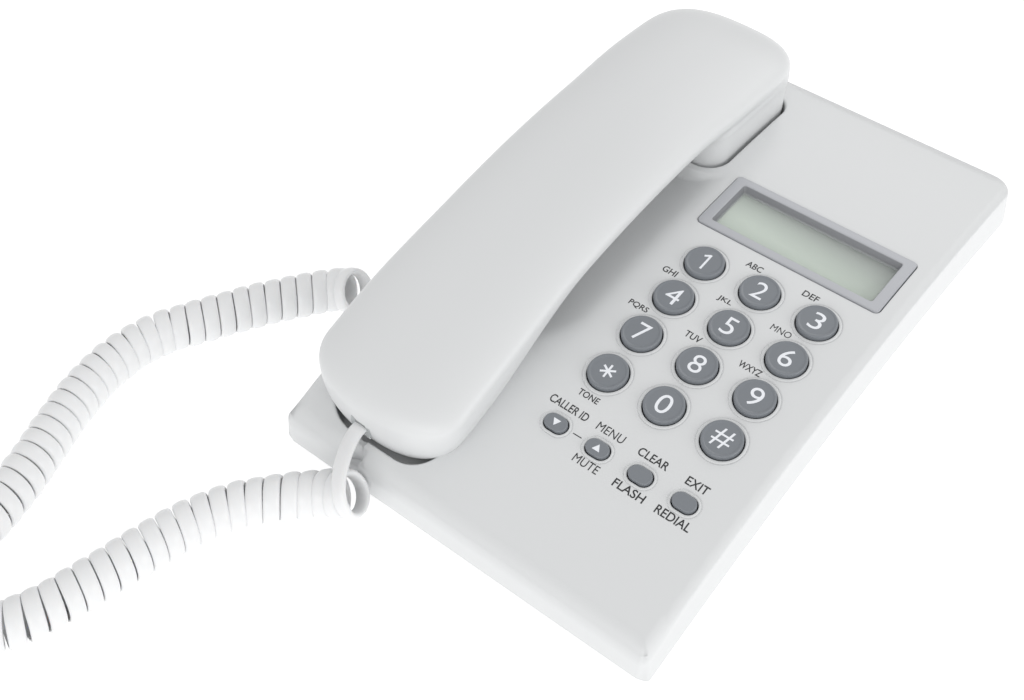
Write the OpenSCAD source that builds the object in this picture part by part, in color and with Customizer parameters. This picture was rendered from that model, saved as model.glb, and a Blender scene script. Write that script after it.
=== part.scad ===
// Corded desk telephone: arched keypad base, lift-off handset and curly handset cord.
// Origin on the table under the middle of the base, +X to the right, +Y to the back, +Z up.

/* [Base] */
// Width of the base across its skirt
base_w = 142; // [138:1:150]
// Depth of the base from front to back
base_d = 216; // [214:1:224]
// Radius of the base's upright corners
corner_r = 7; // [6:1:12]
// Height of the crest of the arched top above the table
crest_z = 39.8; // [38:0.2:42]
// Radius of the arched top, seen from the side
arch_r = 600; // [560:10:700]
// Distance of the crest behind the middle of the base
arch_y = 58.5; // [52:0.5:64]
// Height of the skirt round the top, measured square to the arch
skirt_h = 12.7; // [12:0.1:14]
// Thickness of the upper case
wall = 2.4; // [2:0.1:2.6]
// Inset of the lower case behind the skirt
foot_inset = 9; // [7:1:10]

/* [Keys] */
// Distance between the columns of number keys
pitch_x = 21; // [20:0.5:22]
// Distance between the rows of number keys
pitch_y = 17.5; // [17:0.25:18]
// Diameter of a number key
key_d = 13; // [12:0.1:13.2]
// Height of a number key above the case
key_rise = 1.6; // [1.4:0.1:2]
// Gap between a key and its hole
key_gap = 0.37; // [0.3:0.01:0.45]
// Travel of a key
key_travel = 1.2; // [0.8:0.1:1.3]

/* [Handset] */
// Width of the handset
hand_w = 56.6; // [54:0.2:57]
// Height of the top of the handset's arch above the table
hand_crest_z = 64.1; // [62:0.1:68]
// Radius of the handset's arch
hand_arc_r = 411; // [400:1:430]
// Thickness of the handset's shells
shell_t = 2; // [1.6:0.1:2.2]

/* [Cord] */
// Outside diameter of the coiled part of the cord
coil_d = 15.6; // [14:0.2:16]
// Diameter of the plain tube that stands for a lead
lead_d = 3.4; // [3:0.2:4]

/* [Hidden] */
$fn = 48;
arc_fn = 720;
gap = 0.3;
eps = 0.02;
far = 260;

// Base
half_w = base_w / 2;
half_d = base_d / 2;
front_d = half_d + 2.5; // the front edge stands a little further out than the back
arch_z = crest_z - arch_r;
floor_z = 2;
floor_t = 2;
foot_w = half_w - foot_inset;
foot_d = half_d - foot_inset;
case_posts = [[-10, -94, 10], [56, -95, 10], [55, 93, 22], [-56, 91, 18]];
feet = [[-55.8, -82], [55.8, -82], [-55.8, 78], [55.8, 78]];

// Keypad
pad_x = 28.4;
pad_y = -45.3;
row_keys = [["key_star", "key_0", "key_hash"], ["key_7", "key_8", "key_9"],
            ["key_4", "key_5", "key_6"], ["key_1", "key_2", "key_3"]];
soft_keys = ["key_down", "key_up", "key_clear", "key_redial"];
soft_y = -68.3;
soft_pitch = 15.7;
soft_r = 2.65;
soft_reach = 1.3;
soft_rise = 1.2;
board_y = -30;
pad_posts = [for (x = [-0.5, 0.5], y = [-1.6, -56.8]) [pad_x + x * pitch_x, y]];

// Display
lcd_y = 35.1;
lcd_w = 68.2;
lcd_d = 26.6;
view_w = 58.3;
view_d = 18.2;
lcd_deep = 4;

// Handset and its cradle
hand_x = -41;
hand_y = [-104.8, 103.6];
hand_arc_y = 45;
hand_arc_z = hand_crest_z - hand_arc_r;
part_drop = 14;
ear = [-66, -14.3, 45, 97.5];
ear_z = 27.6;
ear_floor = 26.5;
mouth = [-62, -20, -100.2, -60];
mouth_z = 12.4;
mouth_floor = 11.6;
cup_gap = 0.6;
receiver = [hand_x, 71.5];
microphone = [hand_x, -79];
hand_screws = [[hand_x, 34], [hand_x, -52]];
jack_x = -43;
jack_z = 22.4;

// Saddle under the handle, a ring of round section on an axis above it
saddle_ring = [260, 60];
saddle_low = [-5, 28.0];
saddle_tilt = 6.1;

// Underside
battery = [1.5, 49.5, 42, 79];
battery_top = 15.5;
cell_d = 10.5;
cell_l = 44.5;
cell_pitch = 11.6;
line_jack_x = -28;
side_jack = [-36, 10.5];
ringer_xy = [32, -8];
slider_yz = [10, 9.5];
main_board = [-56, -1, -8, 96];
board_holes = [for (x = [-52, -5], y = [-4, 78]) [x, y]];
main_board_z = 10;
board_t = 1.6;

// Cord routes, chosen by hand
lead_route = [[-43, -104.6, 22.5], [-43, -105.6, 22.5], [-43, -108, 22.2], [-43, -111.5, 21], [-43, -114.5, 19.6],
              [-43, -117, 18]];
coil_route = [[-34, -118], [-43, -124], [-52, -133], [-60, -143], [-65.5, -154], [-69, -166],
              [-71.5, -178], [-74, -190], [-77, -203], [-81.5, -214], [-89, -223], [-99, -226],
              [-108, -221], [-113, -211], [-115, -199], [-117.5, -187], [-121.5, -174],
              [-126.5, -161], [-131, -148], [-134, -135], [-134.5, -122], [-132, -110],
              [-127, -100], [-121, -89], [-114, -77], [-107, -66], [-99, -56], [-91, -48]];
base_route = [[-90.2, -47.2, 7.9], [-86, -43.5, 8], [-80, -40, 8.8], [-74, -37.5, 9.8],
              [-69, -36.3, 10.4], [-65.5, -36, 10.5], [-63.4, -36, 10.5]];
coil_z = coil_d / 2 + 0.1;

// ---- Shared geometry ----

// Height of the arched top at y, or of the arc that lies drop below it
function arch_at(y, drop = 0) = arch_z + sqrt(pow(arch_r - drop, 2) - pow(y - arch_y, 2));
// Height of the handset's arc at y
function hand_at(y, drop = 0) = hand_arc_z + sqrt(pow(hand_arc_r - drop, 2) - pow(y - hand_arc_y, 2));
// Slope of the arched top at y
function slope_at(y) = asin((arch_y - y) / arch_r);

module box(x0, x1, y0, y1, z0, z1) {
    translate([x0, y0, z0]) cube([x1 - x0, y1 - y0, z1 - z0]);
}

module rounded_rect(x0, x1, y0, y1, r) {
    translate([x0 + r, y0]) square([x1 - x0 - 2 * r, y1 - y0]);
    translate([x0, y0 + r]) square([x1 - x0, y1 - y0 - 2 * r]);
    for (x = [x0 + r, x1 - r], y = [y0 + r, y1 - r])
        translate([x, y]) circle(r = r);
}

module rounded_box(x0, x1, y0, y1, r, z0, z1) {
    translate([0, 0, z0]) linear_extrude(z1 - z0) rounded_rect(x0, x1, y0, y1, r);
}

// Upright prism of the base's outline, drawn in by inset
module base_prism(inset, z0, z1) {
    rounded_box(-half_w + inset, half_w - inset, -front_d + inset, half_d - inset,
                max(corner_r - inset, 2), z0, z1);
}

// Everything under the arc that lies drop below the arched top
module under_arch(drop) {
    translate([0, arch_y, arch_z]) rotate([0, 90, 0])
        cylinder(r = arch_r - drop, h = far, center = true, $fn = arc_fn);
}

// Places a child on the arched top, square to it
module on_arch(x, y) {
    translate([x, y, arch_at(y)]) rotate([slope_at(y), 0, 0]) children();
}

// Turns a profile of [radius, x] about an axis along X, from y0 to y1
module turned(axis_y, axis_z, r, y0, y1) {
    a0 = acos((y0 - axis_y) / r);
    a1 = acos((y1 - axis_y) / r);
    translate([0, axis_y, axis_z]) rotate([90, 0, 90]) rotate([0, 0, a1])
        rotate_extrude(angle = a0 - a1, $fn = arc_fn) children();
}

// Profile of the handset's cross-section between two drops below its crest
module hand_profile(top, bottom, half, edge_r) {
    r_out = hand_arc_r - top;
    r_in = hand_arc_r - bottom;
    intersection() {
        translate([r_in, hand_x - half - 1]) square([r_out - r_in, 2 * half + 2]);
        union() {
            translate([r_in, hand_x - half]) square([r_out - edge_r - r_in, 2 * half]);
            translate([r_in, hand_x - half + edge_r]) square([r_out - r_in, 2 * (half - edge_r)]);
            for (s = [-1, 1])
                translate([r_out - edge_r, hand_x + s * (half - edge_r)]) circle(r = edge_r);
        }
    }
}

module hand_sweep(top, bottom, half, edge_r, y0 = hand_y[0] - 1, y1 = hand_y[1] + 1) {
    turned(hand_arc_y, hand_arc_z, hand_arc_r, y0, y1) hand_profile(top, bottom, half, edge_r);
}

// Handset outline seen from above: tighter corners at the mouth end than at the ear end
module hand_outline(inset) {
    x0 = hand_x - hand_w / 2 + inset;
    x1 = hand_x + hand_w / 2 - inset;
    rounded_rect(x0, x1, hand_y[0] + inset, 0, 14 - inset);
    rounded_rect(x0, x1, -30, hand_y[1] - inset, 24 - inset);
}

module hand_prism(inset) {
    linear_extrude(hand_crest_z + 2) hand_outline(inset);
}

module under_hand_arc(drop) {
    translate([0, hand_arc_y, hand_arc_z]) rotate([0, 90, 0])
        cylinder(r = hand_arc_r - drop, h = far, center = true, $fn = arc_fn);
}

module pill(r, reach, z0, z1) {
    translate([0, 0, z0]) linear_extrude(z1 - z0) {
        for (s = [-1, 1]) translate([s * reach, 0]) circle(r = r);
        square([2 * reach, 2 * r], center = true);
    }
}

module saddle(grow) {
    cy = saddle_low[0] - (saddle_ring[0] + saddle_ring[1]) * sin(saddle_tilt);
    cz = saddle_low[1] + (saddle_ring[0] + saddle_ring[1]) * cos(saddle_tilt);
    translate([hand_x, cy, cz]) rotate([0, 90, 0])
        rotate_extrude($fn = arc_fn) translate([saddle_ring[0], 0]) circle(r = saddle_ring[1] + grow, $fn = 180);
}

// Closed tube of one radius through route points: rings of n sides joined by triangles
module tube(route, r, n = 8) {
    last = len(route) - 1;
    along = [for (i = [0:last]) let (v = route[min(i + 1, last)] - route[max(i - 1, 0)]) v / norm(v)];
    side = [for (t = along) let (v = cross([0, 0, 1], t)) v / norm(v)];
    points = [for (i = [0:last], k = [0:n - 1])
        let (a = 360 * (k + 0.5) / n, up = cross(along[i], side[i]))
        route[i] + r * (cos(a) * side[i] + sin(a) * up)];
    sides = [for (i = [0:last - 1], k = [0:n - 1]) let (a = i * n + k, b = i * n + (k + 1) % n)
        each [[a, a + n, b], [b, a + n, b + n]]];
    ends = [[for (k = [0:n - 1]) k], [for (k = [n - 1:-1:0]) last * n + k]];
    polyhedron(points = points, faces = concat(sides, ends), convexity = 6);
}

// ---- Base ----

module ear_box(grow, z0) {
    rounded_box(ear[0] - grow, ear[1] + grow, ear[2] - grow, ear[3] + grow, 9 + grow, z0, 60);
}

module mouth_box(grow, z0) {
    rounded_box(mouth[0] - grow - 1.4, mouth[1] + grow + 0.4, mouth[2] - grow - 2.2,
                mouth[3] + grow + 4, 9 + grow, z0, 60);
}

module cradle_tubs(grow) {
    intersection() {
        union() {
            ear_box(cup_gap + 2 + grow, ear_floor - 2 - grow);
            mouth_box(cup_gap + 2 + grow, mouth_floor - 2 - grow);
        }
        base_prism(0, 0, 60);
    }
}

module key_holes() {
    for (c = [0:2], r = [0:3])
        on_arch(pad_x + (c - 1) * pitch_x, pad_y + r * pitch_y)
            translate([0, 0, -8]) cylinder(r = key_d / 2 + key_gap, h = 16);
    for (i = [0:3])
        on_arch(pad_x + (i - 1.5) * soft_pitch, soft_y)
            pill(soft_r + key_gap, soft_reach, -8, 8);
}

module upper_case() {
    color("#e9eaeb") difference() {
        union() {
            difference() {
                intersection() {
                    base_prism(0, 0, 60);
                    under_arch(0);
                }
                intersection() {
                    base_prism(wall, -1, 60);
                    under_arch(wall);
                }
                under_arch(skirt_h);
            }
            intersection() {
                cradle_tubs(0);
                under_arch(0.4);
            }
            intersection() {
                base_prism(1, 0, 60);
                under_arch(1);
                box(-72, -5, -70, 60, 20, 45);
                saddle(wall);
            }
            for (p = case_posts) intersection() {
                translate([p[0], p[1], p[2]]) cylinder(r = 3.6, h = 40);
                under_arch(1);
                box(-72, 72, -108, 108, p[2], p[0] < -40 ? 26 : 60);
            }
            for (p = pad_posts) intersection() {
                on_arch(p[0], p[1]) translate([0, 0, -9.05 + board_sag(p[1])]) cylinder(r = 2.2, h = 8);
                under_arch(1);
            }
        }
        ear_box(cup_gap, ear_floor);
        mouth_box(cup_gap, mouth_floor);
        saddle(0);
        key_holes();
        on_arch(pad_x, lcd_y) {
            rounded_box(-lcd_w / 2 - gap, lcd_w / 2 + gap, -lcd_d / 2 - gap, lcd_d / 2 + gap, 2, -1.3, 5);
            box(-lcd_w / 2 + 2, lcd_w / 2 - 2, -lcd_d / 2 + 2, lcd_d / 2 - 2, -5, 1);
        }
        translate([jack_x, -front_d - 1, jack_z]) rotate([-90, 0, 0]) cylinder(r = 8.2, h = 14.5);
        box(hand_x - 5.3, hand_x + 5.3, 56.7, 63.3, 20, 30);
        for (p = case_posts) translate([p[0], p[1], p[2] - 1]) cylinder(r = 1.3, h = 8);
        for (p = pad_posts) on_arch(p[0], p[1]) translate([0, 0, -12]) cylinder(r = 0.95, h = 8);
    }
}

// How far the flat keypad board lies above its depth at board_y, seen from the arch at y
function board_sag(y) = arch_r - sqrt(pow(arch_r, 2) - pow(y - board_y, 2));

module lower_case() {
    color("#dfe0e1") difference() {
        union() {
            difference() {
                union() {
                    intersection() {
                        base_prism(foot_inset, floor_z, 60);
                        under_arch(skirt_h - 1);
                    }
                    difference() {
                        intersection() {
                            base_prism(wall + gap, floor_z, 60);
                            under_arch(skirt_h - 1);
                        }
                        under_arch(skirt_h + 1);
                    }
                }
                base_prism(foot_inset + 2, floor_z + floor_t, 60);
            }
            intersection() {
                box(battery[0] - 1.5, foot_w, battery[2] - 1.5, battery[3] + 1.5, floor_z, battery_top + 1.5);
                base_prism(foot_inset, floor_z, 60);
            }
            box(battery[0] - 1.5, foot_w - 1, battery[3], foot_d, floor_z + 1, floor_z + floor_t + 1.5);
            for (p = case_posts) translate([p[0], p[1], floor_z]) cylinder(r = 4.2, h = p[2] - floor_z - 0.1);
            for (p = board_holes) translate([p[0], p[1], floor_z + 1])
                cylinder(r = 2.6, h = main_board_z - floor_z - 1);
        }
        cradle_tubs(gap);
        box(battery[0], battery[1], battery[2], battery[3], 0, battery_top);
        box(battery[0], battery[1], battery[2], half_d, 0, floor_z + floor_t);
        box(battery[0] - 1.3, battery[1] + 1.3, battery[2], half_d, floor_z + 0.7, floor_z + floor_t);
        for (p = case_posts) {
            translate([p[0], p[1], -1]) cylinder(r = 1.6, h = 40);
            translate([p[0], p[1], -1]) cylinder(r = 3.2, h = floor_z + 4);
        }
        for (p = board_holes) translate([p[0], p[1], floor_z + 2.5]) cylinder(r = 0.95, h = 10);
        for (p = feet) translate([p[0], p[1], -1]) cylinder(r = 5.2, h = 3.6);
        for (a = [0:60:300])
            translate([ringer_xy[0] + 6 * cos(a), ringer_xy[1] + 6 * sin(a), 0]) cylinder(r = 1.2, h = 6);
        translate([ringer_xy[0], ringer_xy[1], 0]) cylinder(r = 1.2, h = 6);
        for (y = [-60, 24]) {
            translate([-30, y, 0]) cylinder(r = 4.5, h = 6);
            box(-32.2, -27.8, y, y + 11, 0, 6);
        }
        box(-foot_w - 1, -foot_w + 3, side_jack[0] - 5, side_jack[0] + 5, side_jack[1] - 4, side_jack[1] + 4);
        box(line_jack_x - 5.9, line_jack_x + 5.9, foot_d - 3, foot_d + 1, 13, 22);
        box(foot_w - 3, foot_w + 1, slider_yz[0] - 6, slider_yz[0] + 6, slider_yz[1] - 1.8, slider_yz[1] + 1.8);
    }
}

module rubber_feet() {
    color("#4a4c4e") for (p = feet)
        translate([p[0], p[1], 0]) {
            cylinder(r1 = 4.4, r2 = 5, h = 0.8);
            translate([0, 0, 0.8]) cylinder(r = 5, h = 1.8);
        }
}

module case_screws() {
    color("#a8abae") for (p = case_posts) translate([p[0], p[1], 0]) difference() {
        union() {
            translate([0, 0, 3.2]) cylinder(r = 2.9, h = 1.8);
            translate([0, 0, 4.9]) cylinder(r = 1.25, h = p[2] + 1);
        }
        for (a = [0, 90]) rotate([0, 0, a]) box(-1.6, 1.6, -0.35, 0.35, 3, 4.1);
    }
}

module base_weight() {
    color("#6d7073") box(-44, -20, -92, -66, 4, 8);
    color("#6d7073") box(-44, -20, -44, -18, 4, 8);
    color("#6d7073") box(-44, -36, -66, -44, 4, 8);
}

module main_board() {
    color("#2f6b3f") difference() {
        box(main_board[0], main_board[1], main_board[2], main_board[3], main_board_z, main_board_z + board_t);
        translate([-56, 91, 0]) cylinder(r = 5.2, h = 20);
        for (p = board_holes) translate([p[0], p[1], 0]) cylinder(r = 1.1, h = 20);
    }
}

module board_parts() {
    top = main_board_z + board_t;
    color("#3a3d40") {
        box(-30, -12, 2, 18, top, top + 9);
        box(-34, -14, 28, 36, top, top + 2);
        box(-50, -42, 36, 44, top, top + 3);
        box(-14, -6, 40, 52, top, top + 2.4);
    }
    color("#2b3f66") for (y = [8, 20, 30]) translate([-44, y, top]) cylinder(r = 3.6, h = 8);
    color("#b4482e") for (x = [-28, -22]) translate([x, 46, top]) cylinder(r = 2.4, h = 4);
}

module board_link() {
    color("#c9ccce") difference() {
        union() {
            box(-4.2, -3.6, 2, 12, main_board_z + board_t + 2, 40);
            box(-5.4, -2.4, 1, 13, main_board_z + board_t, main_board_z + board_t + 3);
        }
        on_arch(pad_x, board_y) box(-60, 60, -70, 70, -10.8, 30);
    }
}

module board_screws() {
    color("#b9bcbf") {
        for (p = board_holes)
            translate([p[0], p[1], 0]) {
                translate([0, 0, main_board_z + board_t]) cylinder(r = 2.1, h = 1.4);
                translate([0, 0, 5.5]) cylinder(r = 0.9, h = 7);
            }
        for (p = pad_posts) on_arch(p[0], p[1]) {
            translate([0, 0, -12.4 + board_sag(p[1])]) cylinder(r = 2.1, h = 1.4);
            translate([0, 0, -11.2 + board_sag(p[1])]) cylinder(r = 0.9, h = 5.2);
        }
    }
}

module keypad_board() {
    color("#2f6b3f") difference() {
        on_arch(pad_x, board_y) box(-33.4, 31, -46, 46, -10.8, -9.2);
        for (p = pad_posts) on_arch(p[0], p[1]) translate([0, 0, -14]) cylinder(r = 1.1, h = 8);
    }
}

module key_mat() {
    color("#b9bbbd") difference() {
        union() {
            on_arch(pad_x, board_y) box(-31, 31, -45, 45, -9.2, -8.2);
            for (c = [0:2], r = [0:3])
                on_arch(pad_x + (c - 1) * pitch_x, pad_y + r * pitch_y)
                    translate([0, 0, -8.6]) cylinder(r1 = 5, r2 = 3, h = 2.6);
            for (i = [0:3]) on_arch(pad_x + (i - 1.5) * soft_pitch, soft_y)
                translate([0, 0, -8.6]) cylinder(r1 = 4, r2 = 2.4, h = 2.6);
        }
        on_arch(pad_x, board_y) box(-60, 60, -80, 80, -20, -9.2);
        for (p = pad_posts) on_arch(p[0], p[1]) translate([0, 0, -14]) cylinder(r = 2.6, h = 12);
    }
}

module round_key(column, row) {
    color("#7d8186") on_arch(pad_x + (column - 1) * pitch_x, pad_y + row * pitch_y) {
        translate([0, 0, key_rise - 0.5]) cylinder(r1 = key_d / 2, r2 = key_d / 2 - 0.4, h = 0.5);
        translate([0, 0, -2.7]) cylinder(r = key_d / 2, h = key_rise - 0.5 + 2.7);
        translate([0, 0, -3.4]) cylinder(r = key_d / 2 + 1, h = 0.7);
        translate([0, 0, -4.4]) cylinder(r = 2, h = 1.1);
    }
}

module soft_key(i) {
    color("#7d8186") on_arch(pad_x + (i - 1.5) * soft_pitch, soft_y) {
        pill(soft_r, soft_reach, -2.7, soft_rise);
        pill(soft_r + 0.9, soft_reach, -3.4, -2.7);
        translate([0, 0, -4.4]) cylinder(r = 1.6, h = 1.1);
    }
}

module lcd_bezel() {
    color("#b4b6b9") on_arch(pad_x, lcd_y) difference() {
        union() {
            rounded_box(-lcd_w / 2, lcd_w / 2, -lcd_d / 2, lcd_d / 2, 1.7, -1.3, 0.2);
            box(-lcd_w / 2 + 2.2, lcd_w / 2 - 2.2, -lcd_d / 2 + 2.2, lcd_d / 2 - 2.2, -lcd_deep, -1.2);
        }
        box(-view_w / 2, view_w / 2, -view_d / 2, view_d / 2, -6, 2);
    }
}

module lcd_window() {
    color("#dfe6e2") on_arch(pad_x, lcd_y) box(-31.5, 31.5, -10.6, 10.6, -lcd_deep - 1.2, -lcd_deep);
}

module lcd_panel() {
    color("#b9c3b9") on_arch(pad_x, lcd_y) box(-31, 31, -11, 11, -lcd_deep - 3.6, -lcd_deep - 1.4);
}

module lcd_holder() {
    color("#d5d6d8") on_arch(pad_x, lcd_y) difference() {
        box(-33, 33, -12.5, 12.5, -lcd_deep - 5, -lcd_deep - 1.2);
        box(-31.2, 31.2, -11.2, 11.2, -lcd_deep - 3.6, -lcd_deep);
    }
}

module hook_switch() {
    color("#2c2e30") {
        box(hand_x - 6.5, hand_x + 6.5, 57, 63, main_board_z + board_t, 16.6);
        box(hand_x - 2, hand_x + 2, 58.5, 61.5, 16.6, 17.3);
    }
}

module hook_plunger() {
    color("#e4e5e6") {
        box(hand_x - 5, hand_x + 5, 57, 63, 19, ear_z - 0.4);
        box(hand_x - 6.5, hand_x + 6.5, 55.5, 64.5, 17.6, 19.1);
    }
}

module ringer() {
    color("#3a3c3e") translate([ringer_xy[0], ringer_xy[1], floor_z + floor_t]) difference() {
        cylinder(r = 15, h = 5);
        translate([0, 0, -1]) cylinder(r = 13.2, h = 4.4);
    }
    color("#c9a24b") translate([ringer_xy[0], ringer_xy[1], floor_z + floor_t + 2]) cylinder(r = 13, h = 0.6);
}

// Modular socket body, its mouth on the face at x = 0 and open towards -X
module socket(w, h, deep, open_w, open_h) {
    difference() {
        box(0, deep, -w / 2, w / 2, -h / 2, h / 2);
        box(-1, deep - 3, -open_w / 2, open_w / 2, -open_h / 2, open_h / 2);
    }
}

module line_jack() {
    color("#d8dadb") translate([line_jack_x, foot_d - 2.1, 17.5]) rotate([0, 0, -90])
        socket(13, 11.6, 15, 9.9, 6.8);
}

module cord_jack() {
    color("#d8dadb") translate([-foot_w + 2.1, side_jack[0], side_jack[1]]) socket(12, 12, 14, 8.2, 7);
}

module base_plug() {
    color("#e3e6e8") translate([-foot_w - 1.4, side_jack[0], side_jack[1]]) box(0, 13, -3.8, 3.8, -3.2, 3.2);
}

module ringer_switch() {
    color("#34363a") difference() {
        box(foot_w - 8, foot_w - 2.2, slider_yz[0] - 9, slider_yz[0] + 9, slider_yz[1] - 3.5, slider_yz[1] + 3.5);
        box(foot_w - 5.2, foot_w, slider_yz[0] - 6, slider_yz[0] + 6, slider_yz[1] - 1.8, slider_yz[1] + 1.8);
    }
}

module ringer_slider() {
    color("#55585b") {
        box(foot_w - 4.8, foot_w + 1, slider_yz[0] - 2, slider_yz[0] + 2, slider_yz[1] - 1.2, slider_yz[1] + 1.2);
        box(foot_w + 0.4, foot_w + 2, slider_yz[0] - 2.6, slider_yz[0] + 2.6, slider_yz[1] - 1.7, slider_yz[1] + 1.7);
    }
}

module battery_cells() {
    for (i = [0:2]) translate([battery[0] + 1.4, battery[2] + 6.5 + cell_pitch * i, floor_z + floor_t + cell_d / 2 + 0.2])
        rotate([0, 90, 0]) {
            color("#3f6f9f") cylinder(d = cell_d, h = cell_l - 0.9);
            color("#c9ccce") translate([0, 0, cell_l - 0.9]) cylinder(d = 3.8, h = 0.9);
        }
}

module battery_contacts() {
    color("#c9ccce") for (i = [0:2], x = [battery[0] + 0.1, battery[1] - 0.9])
        translate([x, battery[2] + 2.5 + cell_pitch * i, 5]) cube([0.8, 8, 8]);
}

module battery_door() {
    color("#dfe0e1") difference() {
        union() {
            box(battery[0] + gap, battery[1] - gap, battery[2] + gap, foot_d - gap, floor_z, floor_z + 1.7);
            box(battery[0] - 1, battery[1] + 1, battery[2] + gap, foot_d - gap, floor_z + 1, floor_z + 1.7);
        }
        for (i = [0:3])
            box(battery[0] + 16, battery[1] - 16, foot_d - 8 - 3 * i, foot_d - 6.6 - 3 * i, 0, floor_z + 0.6);
    }
}

// ---- Handset ----

module handset_outer_shell() {
    color("#e9eaeb") difference() {
        intersection() {
            hand_sweep(0, part_drop, hand_w / 2 + eps, 9);
            hand_prism(0);
        }
        intersection() {
            hand_sweep(shell_t, part_drop + 2, hand_w / 2 - shell_t + eps, 7);
            hand_prism(shell_t);
        }
        handset_jack_slot();
    }
}

module handset_jack_slot() {
    box(jack_x - 5.9, jack_x + 5.9, hand_y[0] - 1, -88, jack_z - 4.8, jack_z + 4.8);
}

module cup(outline, inset, z0) {
    rounded_box(outline[0] + inset, outline[1] - inset, outline[2] + inset, outline[3] - inset, 9 - inset, z0, 60);
}

module handset_inner_shell() {
    color("#e4e5e6") difference() {
        union() {
            difference() {
                intersection() {
                    hand_prism(1);
                    under_hand_arc(part_drop + eps);
                }
                under_hand_arc(part_drop + shell_t);
            }
            hand_sweep(part_drop + 1, part_drop + 5, 19, 1.5, -62, 48);
            intersection() {
                union() {
                    cup(ear, 0, ear_z);
                    cup(mouth, 0, mouth_z);
                }
                under_hand_arc(part_drop + eps);
            }
            for (p = hand_screws) intersection() {
                translate([p[0], p[1], 20]) cylinder(r = 3.4, h = 40);
                under_hand_arc(part_drop - 1);
                hand_sweep(part_drop - 1, part_drop + 4.5, 10, 1);
            }
        }
        difference() {
            hand_sweep(part_drop - 1, part_drop + 3, 17, 0.8, -57, 42);
            for (p = hand_screws) translate([p[0], p[1], 20]) cylinder(r = 3.4, h = 40);
        }
        cup(ear, shell_t, ear_z + shell_t);
        cup(mouth, shell_t, mouth_z + shell_t);
        for (a = [0:60:300], r = [6, 12]) translate([receiver[0] + r * cos(a), receiver[1] + r * sin(a), 20])
            cylinder(r = 1.1, h = 12);
        translate([receiver[0], receiver[1], 20]) cylinder(r = 1.1, h = 12);
        for (x = [-4, 0, 4]) translate([microphone[0] + x, microphone[1], 8]) cylinder(r = 0.9, h = 10);
        for (p = hand_screws) {
            translate([p[0], p[1], 10]) cylinder(r = 1.5, h = 50);
            translate([p[0], p[1], hand_at(p[1], part_drop + 2.5) - 12]) cylinder(r = 2.8, h = 12);
        }
        handset_jack_slot();
    }
}

module receiver_gasket() {
    color("#2f3133") translate([receiver[0], receiver[1], ear_z + shell_t]) difference() {
        cylinder(r = 18.5, h = 1.4);
        translate([0, 0, -1]) cylinder(r = 15, h = 4);
    }
}

module receiver_capsule() {
    color("#4b4e51") translate([receiver[0], receiver[1], ear_z + shell_t + 1.4]) {
        cylinder(r = 17.5, h = 3);
        translate([0, 0, 3]) cylinder(r = 9, h = 4.5);
    }
}

module mic_boot() {
    color("#2f3133") translate([microphone[0], microphone[1], mouth_z + shell_t]) difference() {
        cylinder(r = 7.2, h = 6);
        translate([0, 0, 0.8]) cylinder(r = 4.9, h = 8);
        cylinder(r = 2, h = 3, center = true);
    }
}

module mic_capsule() {
    color("#c2c5c8") translate([microphone[0], microphone[1], mouth_z + shell_t + 0.8]) cylinder(r = 4.85, h = 4.8);
}

module handset_weight() {
    color("#6d7073") hand_sweep(4, 12, 9, 0.6, -42, 22);
}

module handset_jack() {
    color("#3a3d40") difference() {
        box(jack_x - 5.8, jack_x + 5.8, -102.6, -88.2, jack_z - 4.7, jack_z + 4.7);
        box(jack_x - 4.1, jack_x + 4.1, -104, -91.6, jack_z - 3.5, jack_z + 3.5);
    }
}

module handset_plug() {
    color("#e3e6e8") box(jack_x - 3.8, jack_x + 3.8, -104.6, -92.4, jack_z - 3.2, jack_z + 3.2);
}

module handset_screws() {
    color("#a8abae") for (p = hand_screws) translate([p[0], p[1], hand_at(p[1], part_drop + 2.5)]) {
        translate([0, 0, -1.8]) cylinder(r = 2.6, h = 1.7);
        translate([0, 0, -0.2]) cylinder(r = 1.4, h = 2.6);
    }
}

// ---- Cord ----

module handset_lead() {
    color("#e6e7e8") tube(lead_route, lead_d / 2);
}

module base_lead() {
    color("#e6e7e8") tube(base_route, lead_d / 2);
}

module cord_coil() {
    color("#e6e7e8") tube([for (p = coil_route) [p[0], p[1], coil_z]], coil_d / 2, 12);
}

// ---- Drawing ----

upper_case();
lower_case();
lcd_bezel();
lcd_window();
lcd_panel();
lcd_holder();
key_mat();
keypad_board();
main_board();
board_parts();
board_link();
hook_switch();
hook_plunger();
ringer();
line_jack();
cord_jack();
ringer_switch();
ringer_slider();
base_weight();
battery_cells();
battery_contacts();
battery_door();
rubber_feet();
case_screws();
board_screws();
for (r = [0:3], c = [0:2])
    round_key(c, r);
for (i = [0:3])
    soft_key(i);
handset_outer_shell();
handset_inner_shell();
receiver_capsule();
receiver_gasket();
mic_capsule();
mic_boot();
handset_weight();
handset_jack();
handset_screws();
handset_plug();
handset_lead();
base_plug();
base_lead();
cord_coil();
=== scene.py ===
"""Corded desk telephone: the looks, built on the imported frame.
"""
import math

import bpy
import numpy as np
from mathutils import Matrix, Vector
from mathutils.geometry import delaunay_2d_cdt


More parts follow.
